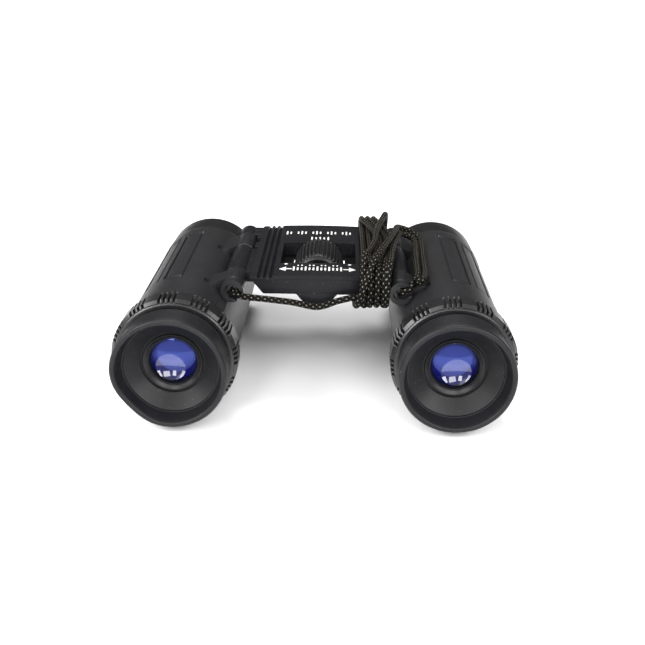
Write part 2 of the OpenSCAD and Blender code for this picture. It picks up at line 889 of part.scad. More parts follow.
barrel_frame(-1);  // barrel_frame_left
barrel_skin(-1);  // barrel_skin_left
objective_ring(-1);  // objective_ring_left
grip_ring(-1, false);  // grip_ring_left
prism_holder(-1);  // prism_holder_left
half_penta_prism(-1);  // half_penta_prism_left
roof_prism(-1);  // roof_prism_left
strap_lug(-1);  // strap_lug_left
eyepiece_tube(-1);  // eyepiece_tube_left
bezel(-1);  // bezel_left
eye_lens(-1);  // eye_lens_left
lens_spacer(-1);  // lens_spacer_left
field_lens(-1);  // field_lens_left
eyecup(-1);  // eyecup_left
objective_cell(-1);  // objective_cell_left
objective_lens(-1);  // objective_lens_left
objective_retainer(-1);  // objective_retainer_left
drive_fork(-1);  // drive_fork_left

barrel_frame(1);  // barrel_frame_right
barrel_skin(1);  // barrel_skin_right
objective_ring(1);  // objective_ring_right
grip_ring(1, true);  // dioptre_ring
prism_holder(1);  // prism_holder_right
half_penta_prism(1);  // half_penta_prism_right
roof_prism(1);  // roof_prism_right
strap_lug(1);  // strap_lug_right
eyepiece_tube(1);  // eyepiece_tube_right
bezel(1);  // bezel_right
eye_lens(1);  // eye_lens_right
lens_spacer(1);  // lens_spacer_right
field_lens(1);  // field_lens_right
eyecup(1);  // eyecup_right
dioptre_key();
objective_cell(1);  // objective_cell_right
objective_lens(1);  // objective_lens_right
objective_retainer(1);  // objective_retainer_right
drive_fork(1);  // drive_fork_right

strap_left_span();
strap_bundle();
strap_right_tail();
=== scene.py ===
# Compact folding binoculars, set down open on a pale table with their cord strap wound round the bridge.
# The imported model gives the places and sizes; this script draws the finished surfaces and the strap's cord.
import math

import bmesh
import bpy
import numpy as np
from mathutils import Matrix, Vector


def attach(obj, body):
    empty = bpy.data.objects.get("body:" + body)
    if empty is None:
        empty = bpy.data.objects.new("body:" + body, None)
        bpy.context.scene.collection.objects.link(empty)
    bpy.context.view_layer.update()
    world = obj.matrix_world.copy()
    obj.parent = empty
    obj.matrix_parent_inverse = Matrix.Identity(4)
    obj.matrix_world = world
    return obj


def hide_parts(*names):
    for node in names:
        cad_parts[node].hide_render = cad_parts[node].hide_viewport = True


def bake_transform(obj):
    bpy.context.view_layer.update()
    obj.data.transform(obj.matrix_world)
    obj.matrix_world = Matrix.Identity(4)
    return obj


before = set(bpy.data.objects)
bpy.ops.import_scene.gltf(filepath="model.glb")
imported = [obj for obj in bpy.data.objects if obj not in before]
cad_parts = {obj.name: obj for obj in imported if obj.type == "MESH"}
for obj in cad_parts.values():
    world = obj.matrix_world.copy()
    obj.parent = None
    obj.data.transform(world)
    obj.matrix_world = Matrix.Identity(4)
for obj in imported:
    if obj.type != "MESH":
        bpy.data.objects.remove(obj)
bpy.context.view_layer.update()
MM = 0.001


# ---- Camera ----
# A normal lens above and behind the eyecups, looking down along the barrels.
camera_place = Vector((6.94, -267.5, 122.9)) * MM
camera_pitch = math.radians(22.22)
camera_turn = math.radians(1.17)
camera_roll = math.radians(0.59)

camera_data = bpy.data.cameras.new("camera")
camera_data.lens = 52.49
camera_data.sensor_width = 36
camera_data.clip_start = 0.01
camera = bpy.data.objects.new("camera", camera_data)
bpy.context.scene.collection.objects.link(camera)
level = Matrix.Rotation(camera_turn, 4, "Z") @ Matrix.Rotation(math.pi / 2 - camera_pitch, 4, "X")
camera.matrix_world = Matrix.Translation(camera_place) @ level @ Matrix.Rotation(camera_roll, 4, "Z")
bpy.context.scene.camera = camera


# ---- Strap ----
# One black polyester braid, about two millimetres thick, looped through a lug at each end and wound round
# the bridge to put it away. It is made in four stretches: across the front, the winding, and the two strands
# of the doubled tail.
cord_diameter = 1.9 * MM
cord_sides = 12
ring_step = 0.5 * MM
braid_strands = 8
braid_pitch = 1.0 * MM


def smooth_path(points, step=ring_step):
    """Evenly spaced points along a smooth curve through points in millimetres, and the curve's length."""
    knots = [Vector(p) * MM for p in points]
    knots = [2 * knots[0] - knots[1]] + knots + [2 * knots[-1] - knots[-2]]
    fine = []
    for a, b, c, d in zip(knots, knots[1:], knots[2:], knots[3:]):
        ab, bc, cd = (((q - p).length / MM) ** 0.8 for p, q in ((a, b), (b, c), (c, d)))
        leave = bc * ((b - a) / ab - (c - a) / (ab + bc) + (c - b) / bc)
        arrive = bc * ((c - b) / bc - (d - b) / (bc + cd) + (d - c) / cd)
        for i in range(24):
            t = i / 24
            fine.append((2 * t ** 3 - 3 * t ** 2 + 1) * b + (t ** 3 - 2 * t ** 2 + t) * leave
                        + (3 * t ** 2 - 2 * t ** 3) * c + (t ** 3 - t ** 2) * arrive)
    fine.append(knots[-2])
    length = sum((b - a).length for a, b in zip(fine, fine[1:]))
    count = max(8, round(length / step))
    spaced = [fine[0]]
    gone = 0
    for a, b in zip(fine, fine[1:]):
        stretch = (b - a).length
        while len(spaced) < count and gone + stretch >= len(spaced) * length / count:
            spaced.append(a.lerp(b, (len(spaced) * length / count - gone) / stretch))
        gone += stretch
    return spaced + [fine[-1]], length


def mesh_object(name, mesh):
    """Turns the drawn mesh into an object in the scene."""
    data = bpy.data.meshes.new(name)
    mesh.to_mesh(data)
    mesh.free()
    made = bpy.data.objects.new(name, data)
    bpy.context.scene.collection.objects.link(made)
    return made


def braided_tube(name, path):
    """A closed round tube along path that rises and falls with its braid; its UV map follows the yarns."""
    mesh = bmesh.new()
    uv = mesh.loops.layers.uv.new("braid")
    up = Vector((0, 0, 1)) if abs((path[1] - path[0]).normalized().z) < 0.9 else Vector((0, 1, 0))
    rings = []
    for i, point in enumerate(path):
        along = (path[min(i + 1, len(path) - 1)] - path[max(i - 1, 0)]).normalized()
        side = along.cross(up).normalized()
        up = side.cross(along)
        v = i * ring_step / braid_pitch
        corners = []
        for k in range(cord_sides):
            u = k / cord_sides
            swell = (math.cos(2 * math.pi * (u * braid_strands + v))
                     * math.cos(2 * math.pi * (u * braid_strands - v)))
            radius = cord_diameter / 2 * (0.97 + 0.03 * swell)
            angle = 2 * math.pi * u
            corners.append(mesh.verts.new(point + radius * (math.cos(angle) * side + math.sin(angle) * up)))
        rings.append(corners)
    for i, (a, b) in enumerate(zip(rings, rings[1:])):
        for k in range(cord_sides):
            j = (k + 1) % cord_sides
            face = mesh.faces.new((a[k], a[j], b[j], b[k]))
            face.smooth = True
            for loop, (s, t) in zip(face.loops, ((k, i), (k + 1, i), (k + 1, i + 1), (k, i + 1))):
                loop[uv].uv = (s / cord_sides * braid_strands, t * ring_step / braid_pitch)
    mesh.faces.new(reversed(rings[0]))
    mesh.faces.new(rings[-1])
    bmesh.ops.recalc_face_normals(mesh, faces=mesh.faces)
    piece = mesh_object(name, mesh)
    piece.data.materials.append(braid)
    return piece


def add_node(tree, kind, settings=None, **inputs):
    """A shader node with its settings and inputs; an input is a value or another node's output."""
    node = tree.nodes.new(kind)
    for key, value in (settings or {}).items():
        setattr(node, key, value)
    for key, value in inputs.items():
        socket = node.inputs[int(key[1:])] if key[1:].isdigit() else node.inputs[key.replace("_", " ")]
        if isinstance(value, bpy.types.NodeSocket):
            tree.links.new(value, socket)
        else:
            socket.default_value = value
    return node


def maths(tree, operation, a, b=0.0, c=0.0):
    return add_node(tree, "ShaderNodeMath", {"operation": operation}, i0=a, i1=b, i2=c).outputs[0]


def new_material(name):
    material = bpy.data.materials.new(name)
    material.use_nodes = True
    tree = material.node_tree
    return material, tree, tree.nodes["Principled BSDF"]


def braid_material():
    """Two crossing families of yarns, one over the other by turns, with painted shade in the hollows and pale
    yarns among the black whose flecks sit only on the crests, part yarn and part painted highlight.
    """
    material, tree, surface = new_material("strap_braid")
    uv = add_node(tree, "ShaderNodeUVMap", {"uv_map": "braid"})
    parts = add_node(tree, "ShaderNodeSeparateXYZ", Vector=uv.outputs[0])
    right = maths(tree, "ADD", parts.outputs[0], parts.outputs[1])
    left = maths(tree, "SUBTRACT", parts.outputs[0], parts.outputs[1])
    turn = maths(tree, "ADD", maths(tree, "FLOOR", right), maths(tree, "FLOOR", left))
    over = maths(tree, "PINGPONG", turn, 1.0)
    family = add_node(tree, "ShaderNodeMix", Factor=over, A=right, B=left).outputs[0]
    other = add_node(tree, "ShaderNodeMix", Factor=over, A=left, B=right).outputs[0]
    crest = maths(tree, "SINE", maths(tree, "MULTIPLY", maths(tree, "FRACT", family), math.pi))
    reach = maths(tree, "SINE", maths(tree, "MULTIPLY", maths(tree, "FRACT", other), math.pi))
    height = maths(tree, "MULTIPLY", crest, maths(tree, "POWER", reach, 0.5))
    tracer = maths(tree, "LESS_THAN", maths(tree, "MODULO", maths(tree, "FLOOR", right), 2.0), 0.5)
    shown = maths(tree, "MULTIPLY", tracer, maths(tree, "SUBTRACT", 1.0, over))
    # Pale only where a tracer yarn lies on top and only on its crest: part pale yarn, part painted highlight.
    pale = maths(tree, "MULTIPLY", shown, maths(tree, "GREATER_THAN", height, 0.64))
    # Painted shade: the black is darkest where the yarns sink and a little lighter on their crests.
    shade = add_node(tree, "ShaderNodeValToRGB", Fac=height)
    shade.color_ramp.elements[0].color = (0.0008, 0.0008, 0.0008, 1)
    shade.color_ramp.elements[1].color = (0.0045, 0.0042, 0.0038, 1)
    mixed = add_node(tree, "ShaderNodeMix", {"data_type": "RGBA"}, Factor=pale, i6=shade.outputs[0],
                     i7=(0.17, 0.155, 0.115, 1))
    tree.links.new(mixed.outputs[2], surface.inputs["Base Color"])
    surface.inputs["Roughness"].default_value = 0.5
    surface.inputs["Specular IOR Level"].default_value = 0.08
    bump = add_node(tree, "ShaderNodeBump", Height=height, Strength=0.9, Distance=0.0002)
    tree.links.new(bump.outputs[0], surface.inputs["Normal"])
    return material


braid = braid_material()

# The front span, from the left lug down past the bridge's belly to the winding.
span_route = [
    (-23.9, -17.5, 30.2), (-23, -17.5, 29.4), (-21.6, -17.4, 28.5), (-20, -17, 28.0), (-17.5, -16.6, 27.6),
    (-14, -16.4, 27.2), (-10.5, -16.4, 26.8), (-7, -16.4, 26.4), (-4, -16.4, 25.8), (-1.8, -16.4, 25.3),
    (0.4, -16.4, 25.1), (2.8, -16.4, 25.7), (5.5, -16.4, 26.8), (8.2, -16.4, 27.6), (10.5, -16.4, 28.1),
    (12.1, -16.4, 28.1),
]
span_path, span_length = smooth_path(span_route)
strap_span = braided_tube("strap_span", span_path)

# The winding: each turn goes up round the near end of the bridge, over the top and back underneath.
# A turn is its x at the near end, on top and at the far end, then the layers it lies in above and below.
turns = [
    (13.3, 13.6, 13.3, 0, 0), (15.3, 15.6, 15.3, 0, 0), (17.3, 17.6, 17.3, 0, 0), (19.3, 19.7, 19.3, 0, 1),
    (15.2, 18.6, 13.3, 1, 2), (17.2, 20.6, 15.3, 1, 2), (19.2, 22.6, 17.3, 1, 3), (13.2, 17.4, 21.4, 2, 1),
]
end_radius = 4.1
layer_rise = 1.97
near_y, far_y, mid_y, turn_z = -12.8, 35, 11, 30.8


def turn_points(turn, following):
    near_x, top_x, far_x, above, below = turn
    radius = end_radius + layer_rise * min(above, 1)
    next_radius = end_radius + layer_rise * min(following[3], 1)
    top_z = turn_z + end_radius + layer_rise * above
    under_x = min(far_x, 21.2)
    under_z = turn_z - end_radius - layer_rise * below
    points = []
    for angle in (180, 138):
        a = math.radians(angle)
        points.append((near_x, near_y + radius * math.cos(a), turn_z + radius * math.sin(a)))
    for share in (0.06, 0.3, 0.65, 1):
        x = near_x + (top_x - near_x) * math.sin(share * math.pi / 2)
        points.append((x, near_y + (mid_y - near_y) * share, top_z))
    for share in (0.35, 0.7, 0.94):
        x = top_x + (far_x - top_x) * share ** 1.3
        points.append((x, mid_y + (far_y - mid_y) * share, top_z))
    for angle in (48, 5, -38):
        a = math.radians(angle)
        x = far_x + (under_x - far_x) * (48 - angle) / 86
        points.append((x, far_y + radius * math.cos(a), turn_z + radius * math.sin(a)))
    for share in (0.04, 0.2, 0.5, 0.8, 0.95):
        x = under_x + (following[0] - under_x) * share
        near_end = max(0, share - 0.8) / 0.15
        z = under_z + (turn_z - next_radius - under_z) * near_end
        points.append((x, far_y + (near_y - far_y) * share, z))
    a = math.radians(222)
    points.append((following[0], near_y + next_radius * math.cos(a), turn_z + next_radius * math.sin(a)))
    return points


winding_route = [(12.1, -16.4, 28.1), (12.9, -16.9, 29.3)]
for turn, following in zip(turns, turns[1:] + [(19.8, 0, 0, 1)]):
    winding_route += turn_points(turn, following)
winding_route += [(19.9, -18.9, 30.8), (20.1, -17.6, 34.4), (20.6, -14.2, 36.9), (21.2, -9, 37.6),
                  (21.5, -4, 37.6)]
winding_path, winding_length = smooth_path(winding_route)
strap_winding = braided_tube("strap_winding", winding_path)

# The doubled tail: one strand goes from the winding out over the barrel, turns and runs down to the right
# lug; the other lies beside it on the way back, crosses the winding and is tucked in under the bridge.
tail_route = [
    (21.5, -4, 37.6), (22.6, 4, 37.7), (23.9, 11, 37.6), (24.7, 16, 37.2), (24.9, 18.6, 36.8),
    (25.6, 20.3, 36.4), (27.3, 21, 35.7), (29, 20.3, 35.1), (29.7, 18.6, 34.8), (29.9, 16, 34.5),
    (29.7, 11, 34.3), (29.3, 2, 34.0), (29.1, -6, 33.8), (28.8, -12, 33.6), (27.9, -15.7, 32.8),
    (26.2, -17.3, 31.5), (23.9, -17.6, 30.2),
]
tail_path, tail_length = smooth_path(tail_route)
strap_tail = braided_tube("strap_tail", tail_path)
return_route = [
    (27.8, -18.1, 33.6), (29.3, -17, 33.8), (30.6, -14.2, 33.7), (31.2, -10, 33.4), (31.4, -4, 33.2),
    (31.6, 4, 33.2), (31.9, 12, 33.4), (32, 17, 33.7), (31.9, 20.8, 34.1), (30.8, 23.4, 34.9),
    (28.1, 24.6, 36.2), (25.5, 23.4, 37.4), (24.3, 20.8, 38.2), (23.9, 17, 38.7), (22.9, 11, 39.3),
    (21.3, 4, 39.7), (19.4, -4, 39.8), (17.4, -10.5, 39.3), (15.7, -15.8, 37.9), (14.2, -19.6, 35.1),
    (13, -20.9, 31.4), (12, -19.9, 28), (11.4, -17, 26), (11.2, -13, 25.3), (11.2, -8, 25.2),
    (11.3, -4, 25.2),
]
return_path, return_length = smooth_path(return_route)
strap_return = braided_tube("strap_return", return_path)


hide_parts("strap_left_span")
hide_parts("strap_bundle")
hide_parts("strap_right_tail")
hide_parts("strap_right_tail")
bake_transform(strap_span)
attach(strap_winding, "bridge")
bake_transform(strap_tail)
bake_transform(strap_return)


# ---- Table and light ----
# A pale table that the grip rings and objective rings stand on. Wide lamps light it from behind, above and
# the left, the room is brighter behind the viewer, and four soft boxes in front show in the lenses.
ring_drop, ring_gap, table_y, table_z = 1.7, 77.5, -31.4, -0.1
slope = math.atan2(ring_drop, ring_gap)
floor_mesh = bpy.data.meshes.new("table")
floor_mesh.from_pydata([(-3, -3, 0), (3, -3, 0), (3, 3, 0), (-3, 3, 0)], [], [(0, 1, 2, 3)])
table = bpy.data.objects.new("table", floor_mesh)
bpy.context.scene.collection.objects.link(table)
table.matrix_world = Matrix.Translation((0, table_y * MM, table_z * MM)) @ Matrix.Rotation(slope, 4, "X")
table_paint, tree, surface = new_material("table_paint")
surface.inputs["Base Color"].default_value = (0.86, 0.86, 0.86, 1)
surface.inputs["Roughness"].default_value = 0.6
table.data.materials.append(table_paint)

world = bpy.data.worlds.new("studio")
bpy.context.scene.world = world
world.use_nodes = True
tree = world.node_tree
aim = add_node(tree, "ShaderNodeTexCoord").outputs["Generated"]
aim = add_node(tree, "ShaderNodeSeparateXYZ", Vector=aim)
wall = add_node(tree, "ShaderNodeMapRange", Value=aim.outputs[1], From_Min=-0.2, From_Max=0.35, To_Min=0.6,
                To_Max=0.07)
tree.nodes["Background"].inputs[0].default_value = (1, 1, 1, 1)
tree.links.new(wall.outputs[0], tree.nodes["Background"].inputs[1])
bpy.context.scene.view_settings.view_transform = "Standard"


def lamp(name, kind, along, power):
    """A lamp that shines along a direction."""
    data = bpy.data.lights.new(name, kind)
    data.energy = power
    made = bpy.data.objects.new(name, data)
    bpy.context.scene.collection.objects.link(made)
    made.rotation_euler = Vector(along).to_track_quat("-Z", "Y").to_euler()
    return made


def soft_box(name, place, size, power):
    """A rectangle of light at place, in metres, that faces the binoculars."""
    box = lamp(name, "AREA", Vector((0, -0.04, 0.02)) - Vector(place), power)
    box.data.shape = "RECTANGLE"
    box.data.size, box.data.size_y = size
    box.location = place


def broad_sun(name, along, width, power):
    """A far, wide source that lights the whole table alike and throws a soft shadow along a direction."""
    lamp(name, "SUN", along, power).data.angle = math.radians(width)


broad_sun("behind", (0.03, -0.5, -1), 22, 1.6)
broad_sun("upper_left", (0.8, 0.25, -1), 55, 1.25)
broad_sun("overhead", (0.1, 0.2, -1), 110, 0.55)
soft_box("left_window", (-0.46, -0.20, 0.31), (0.38, 0.34), 3.4)
soft_box("right_window", (0.45, -0.28, 0.34), (0.26, 0.28), 2.8)
soft_box("left_strip", (-0.16, -0.50, 0.34), (0.14, 0.24), 1.2)
soft_box("middle_strip", (0.16, -0.46, 0.36), (0.26, 0.24), 1.8)


# ---- Making pieces ----
# Every piece is drawn in millimetres from the eyecup rims and the bridge's middle or a barrel's axis.
# These turn, extrude, soften and place it; a right-hand barrel is the left one mirrored.
rim_y, axis_x, axis_z = -47.4, 37.8, 17.2
bridge_place = Matrix.Translation((0, rim_y * MM, axis_z * MM)) @ Matrix.Scale(MM, 4)
left_place = Matrix.Translation((-axis_x * MM, rim_y * MM, axis_z * MM)) @ Matrix.Scale(MM, 4)
right_place = Matrix.Translation((axis_x * MM, rim_y * MM, axis_z * MM)) @ Matrix.Scale(MM, 4)
right_place = right_place @ Matrix.Diagonal((-1, 1, 1, 1))
barrels = (("left", left_place), ("right", right_place))


def rounded(corners, steps=5):
    """An outline through corners (a, b, radius), each corner turned into an arc of its radius."""
    outline = []
    for i, (a, b, radius) in enumerate(corners):
        here = Vector((a, b))
        if radius <= 0:
            outline.append((a, b))
            continue
        before = Vector(corners[i - 1][:2]) - here
        after = Vector(corners[(i + 1) % len(corners)][:2]) - here
        half = before.angle(after) / 2
        reach = min(radius / math.tan(half), before.length * 0.49, after.length * 0.49)
        start, end = here + before.normalized() * reach, here + after.normalized() * reach
        for k in range(steps + 1):
            t = k / steps
            point = (1 - t) ** 2 * start + 2 * t * (1 - t) * here + t ** 2 * end
            outline.append((point.x, point.y))
    return outline


def join_rows(mesh, rows, wrap=False):
    """Faces from each closed row of points to the next; wrap also joins the last row to the first."""
    for a, b in zip(rows, rows[1:] + (rows[:1] if wrap else [])):
        for k in range(len(a)):
            j = (k + 1) % len(a)
            mesh.faces.new((a[k], a[j], b[j], b[k]))


def turn_on(mesh, outline, x=0.0, z=0.0, sides=160):
    """Adds a closed outline of (radius, y) turned round the axis through (x, z)."""
    turned = [(math.cos(2 * math.pi * k / sides), math.sin(2 * math.pi * k / sides)) for k in range(sides)]
    rings = []
    for radius, y in outline:
        if radius < 1e-5:
            rings.append([mesh.verts.new((x, y, z))])
            continue
        rings.append([mesh.verts.new((x + radius * c, y, z + radius * s)) for c, s in turned])
    for a, b in zip(rings, rings[1:] + rings[:1]):
        for k in range(sides):
            j = (k + 1) % sides
            if len(a) > 1 and len(b) > 1:
                mesh.faces.new((a[k], a[j], b[j], b[k]))
            elif len(a) > 1:
                mesh.faces.new((a[k], a[j], b[0]))
            elif len(b) > 1:
                mesh.faces.new((a[0], b[j], b[k]))


def extrude_on(mesh, outline, y0, y1, soften=0.0):
    """Adds an outline of (x, z) extruded from y0 to y1, with its end edges softened."""
    near = [mesh.verts.new((x, y0, z)) for x, z in outline]
    far = [mesh.verts.new((x, y1, z)) for x, z in outline]
    ends = [mesh.faces.new(near), mesh.faces.new(list(reversed(far)))]
    for k in range(len(near)):
        j = (k + 1) % len(near)
        mesh.faces.new((near[j], near[k], far[k], far[j]))
    if soften:
        edges = list({edge for face in ends for edge in face.edges})
        bmesh.ops.bevel(mesh, geom=edges, offset=soften, segments=2, profile=0.5, affect="EDGES")


def box_on(mesh, x0, x1, y0, y1, z0, z1, soften=0.0):
    """Adds a box with all its edges softened."""
    middle = Vector(((x0 + x1) / 2, (y0 + y1) / 2, (z0 + z1) / 2))
    size = Matrix.Diagonal((x1 - x0, y1 - y0, z1 - z0, 1))
    made = bmesh.ops.create_cube(mesh, size=1, matrix=Matrix.Translation(middle) @ size)
    if soften:
        edges = list({edge for vert in made["verts"] for edge in vert.link_edges})
        bmesh.ops.bevel(mesh, geom=edges, offset=soften, segments=2, profile=0.5, affect="EDGES")


def settle(piece, body, node, sharp=32):
    """Shades the piece, crisp where edges pass the sharp angle, puts it on its body and hides the imported
    node it stands for.
    """
    piece.data.polygons.foreach_set("use_smooth", [True] * len(piece.data.polygons))
    piece.data.set_sharp_from_angle(angle=math.radians(sharp))
    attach(piece, body)
    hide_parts(node)


def finish_piece(name, mesh, place, material, body, node, sharp=32):
    """Places the drawn mesh, turns its faces outwards, paints it and settles it."""
    bmesh.ops.transform(mesh, matrix=place, verts=mesh.verts)
    bmesh.ops.recalc_face_normals(mesh, faces=mesh.faces)
    piece = mesh_object(name, mesh)
    piece.data.materials.append(material)
    settle(piece, body, node, sharp)


def bake(piece):
    """Puts the result of the piece's modifiers into its own mesh and takes the modifiers off."""
    shown = piece.evaluated_get(bpy.context.evaluated_depsgraph_get())
    data = bpy.data.meshes.new_from_object(shown)
    piece.modifiers.clear()
    piece.data = data


def moulded(name, colour, roughness, grain, depth, mottle, speck, shine=0.26):
    """Moulded plastic or rubber: a fine grain, slow changes of shade and gloss, and a little pale dust."""
    material, tree, surface = new_material(name)
    place = add_node(tree, "ShaderNodeTexCoord").outputs["Object"]
    slow = add_node(tree, "ShaderNodeTexNoise", Vector=place, Scale=140.0, Detail=4.0, Roughness=0.6)
    fine = add_node(tree, "ShaderNodeTexNoise", Vector=place, Scale=1 / grain, Detail=3.0, Roughness=0.7)
    dust = add_node(tree, "ShaderNodeTexNoise", Vector=place, Scale=2600.0, Detail=2.0, Roughness=0.4)
    shade = add_node(tree, "ShaderNodeValToRGB", Fac=slow.outputs[0])
    shade.color_ramp.elements[0].position = 0.3
    shade.color_ramp.elements[1].position = 0.7
    shade.color_ramp.elements[0].color = (*(c * (1 - mottle) for c in colour), 1)
    shade.color_ramp.elements[1].color = (*(c * (1 + mottle) for c in colour), 1)
    spots = maths(tree, "MULTIPLY", maths(tree, "GREATER_THAN", dust.outputs[0], 0.74), speck)
    mixed = add_node(tree, "ShaderNodeMix", {"data_type": "RGBA"}, Factor=spots, i6=shade.outputs[0],
                     i7=(0.25, 0.24, 0.22, 1))
    gloss = add_node(tree, "ShaderNodeMapRange", Value=fine.outputs[0], From_Min=0.3, From_Max=0.7,
                     To_Min=roughness - 0.06, To_Max=roughness + 0.06)
    bump = add_node(tree, "ShaderNodeBump", Height=fine.outputs[0], Strength=0.6, Distance=depth)
    tree.links.new(mixed.outputs[2], surface.inputs["Base Color"])
    tree.links.new(gloss.outputs[0], surface.inputs["Roughness"])
    tree.links.new(bump.outputs[0], surface.inputs["Normal"])
    surface.inputs["Specular IOR Level"].default_value = shine
    return material


# ---- Barrel skins ----
# A soft-touch sleeve over each barrel tube, matt and very dark, with six long sunken panels round it. It is
# scooped out beside the hinge and has a square window at the start of each hinge arm.
skin_coat = moulded("skin_coat", (0.0088, 0.0088, 0.0098), 0.4, 0.00022, 0.00003, 0.2, 0.25, 0.36)
skin_radius, skin_floor, skin_start, skin_end = 15.8, 14.9, 19.8, 83.4
hinge_reach, hinge_lean, flute_radius = 19.03, 46.9, 3.6
panel_spans = [(-24, -2)] + [(a, a + 20) for a in (-50, -76, -102, -128, -154)]
panel_from, panel_to = 33.5, 77.5
window_spans = ((31.9, 35.4), (63.2, 66.7))


def ramp(value, start, end):
    return min(1.0, max(0.0, (value - start) / (end - start)))


def skin_height(phi, y):
    """Radius of the skin's surface at phi degrees from the top towards the hinge."""
    radius = skin_radius
    for low, high in panel_spans:
        across = min(ramp(phi, low, low + 0.7), 1 - ramp(phi, high - 0.7, high))
        along = min(ramp(y, panel_from, panel_from + 0.25), 1 - ramp(y, panel_to - 1.2, panel_to))
        inner = min(ramp(phi, low + 1.9, low + 3.1), 1 - ramp(phi, high - 3.1, high - 1.9))
        inner = min(inner, ramp(y, panel_from + 0.5, panel_from + 1.0))
        radius = min(radius, skin_radius - 0.5 * min(across, along) + 0.34 * inner)
    lean = math.radians(phi - hinge_lean)
    inside = flute_radius ** 2 - (hinge_reach * math.sin(lean)) ** 2
    if inside > 0 and math.cos(lean) > 0:
        radius = min(radius, hinge_reach * math.cos(lean) - math.sqrt(inside) + 0.02)
    for start, end in window_spans:
        if 20 <= phi <= 28:
            across = min(ramp(phi, 20, 20.5), 1 - ramp(phi, 27.5, 28))
            along = min(ramp(y, start, start + 0.12), 1 - ramp(y, end - 0.12, end))
            radius = min(radius, skin_radius - 1.7 * min(across, along))
    ends = min(y - skin_start, skin_end - y)
    if ends < 0.25:
        radius -= 0.25 - math.sqrt(max(0.0, 0.25 ** 2 - (0.25 - ends) ** 2))
    return radius


phi_lines = set(np.arange(-180, 180, 2.0))
for low, high in panel_spans:
    phi_lines |= {low, low + 0.35, low + 0.7, low + 1.9, low + 3.1, high}
    phi_lines |= {high - 3.1, high - 1.9, high - 0.7, high - 0.35}
phi_lines |= {20, 20.25, 20.5, 27.5, 27.75, 28} | set(np.arange(34, 60, 0.5))
phi_lines = sorted(set(round(float(p), 3) for p in phi_lines))
y_lines = set(np.arange(21, 83, 2.5)) | {panel_from + d for d in (-0.3, 0, 0.12, 0.25, 0.5, 1.0)}
y_lines |= {panel_to - d for d in (-0.3, 0, 0.4, 0.8, 1.2, 1.6)}
for start, end in window_spans:
    y_lines |= {start, start + 0.06, start + 0.12, end - 0.12, end - 0.06, end}
y_lines |= {skin_start + d for d in (0, 0.05, 0.12, 0.25)} | {skin_end - d for d in (0, 0.05, 0.12, 0.25)}
y_lines = sorted(set(round(float(y), 3) for y in y_lines))

for side, place in barrels:
    mesh = bmesh.new()
    rings = []
    for y in [None] + y_lines + [None]:
        row = []
        for phi in phi_lines:
            at = (y_lines[0] if not rings else y_lines[-1]) if y is None else y
            radius = skin_floor if y is None else skin_height(phi, y)
            angle = math.radians(phi)
            row.append(mesh.verts.new((radius * math.sin(angle), at, radius * math.cos(angle))))
        rings.append(row)
    join_rows(mesh, rings, wrap=True)
    finish_piece(f"skin_{side}", mesh, place, skin_coat, f"{side}_barrel",
                 f"barrel_skin_{side}", 50)


# ---- Barrel frames ----
# Each barrel is a moulded tube that carries two arms; each arm ends in a knuckle of the folding hinge.
# The rear knuckle is hollow where the drive fork slides.
frame_coat = moulded("frame_coat", (0.0088, 0.0088, 0.0098), 0.34, 0.0003, 0.00002, 0.2, 0.15, 0.45)
hinge_x, hinge_z = 13.9, 13
arm_outline = rounded([
    (5.2, 12.6, 0), (6.95, 14.25, 0), (9.3, 14.55, 2.5), (12.2, 15.75, 1.5), (13.9, 15.9, 0.4),
    (hinge_x, hinge_z, 0), (12.3, 10.5, 0.8), (9.2, 10, 0),
])
for side, place in barrels:
    mesh = bmesh.new()
    turn_on(mesh, [(13.4, 10.2), (14.9, 10.2), (14.9, 91), (13.4, 91)])
    for start, end in ((32, 40.2), (63.3, 75.7)):
        extrude_on(mesh, arm_outline, start, end, 0.2)
    turn_on(mesh, rounded([(1.55, 32, 0.1), (3.3, 32, 0.28), (3.3, 40.2, 0.22), (1.55, 40.2, 0.1)]),
            hinge_x, hinge_z, 96)
    turn_on(mesh, rounded([
        (1.55, 63.3, 0), (3.3, 63.3, 0.22), (3.3, 75.7, 0.22), (1.55, 75.7, 0), (1.55, 69.65, 0),
        (2.75, 69.65, 0), (2.75, 63.75, 0), (1.55, 63.75, 0),
    ]), hinge_x, hinge_z, 96)
    finish_piece(f"frame_{side}", mesh, place, frame_coat, f"{side}_barrel",
                 f"barrel_frame_{side}")


# ---- Strap lugs ----
# A hollow cup in front of each front knuckle, open on one side, with a bar across it for the strap's loop.
# The left one opens down towards the bridge and the right one up and outwards.
for (side, place), mouth in zip(barrels, (-40, 160)):
    mesh = bmesh.new()
    outline = []
    for k in range(49):
        angle = math.radians(mouth + 28 + 304 * k / 48)
        outline.append((hinge_x + 3.3 * math.cos(angle), hinge_z + 3.3 * math.sin(angle)))
    for k in range(48, -1, -1):
        angle = math.radians(mouth + 40 + 280 * k / 48)
        inner = 2.3 - 0.75 * math.sin(2 * math.pi * k / 48) ** 2
        outline.append((hinge_x + inner * math.cos(angle), hinge_z + inner * math.sin(angle)))
    extrude_on(mesh, outline, 28.8, 31.3, 0.14)
    turn_on(mesh, [(1.5, 31.1), (3.25, 31.1), (3.3, 31.2), (3.3, 31.9), (1.5, 31.9)], hinge_x, hinge_z, 96)
    bar = bmesh.new()
    box_on(bar, -1.85, -0.95, 29.2, 31.2, -2.2, 2.2, 0.15)
    across = Matrix.Translation((hinge_x, 0, hinge_z)) @ Matrix.Rotation(math.radians(-mouth), 4, "Y")
    bmesh.ops.transform(bar, matrix=across, verts=bar.verts)
    spare = bpy.data.meshes.new("bar")
    bar.to_mesh(spare)
    bar.free()
    mesh.from_mesh(spare)
    finish_piece(f"lug_{side}", mesh, place, frame_coat, f"{side}_barrel",
                 f"strap_lug_{side}")


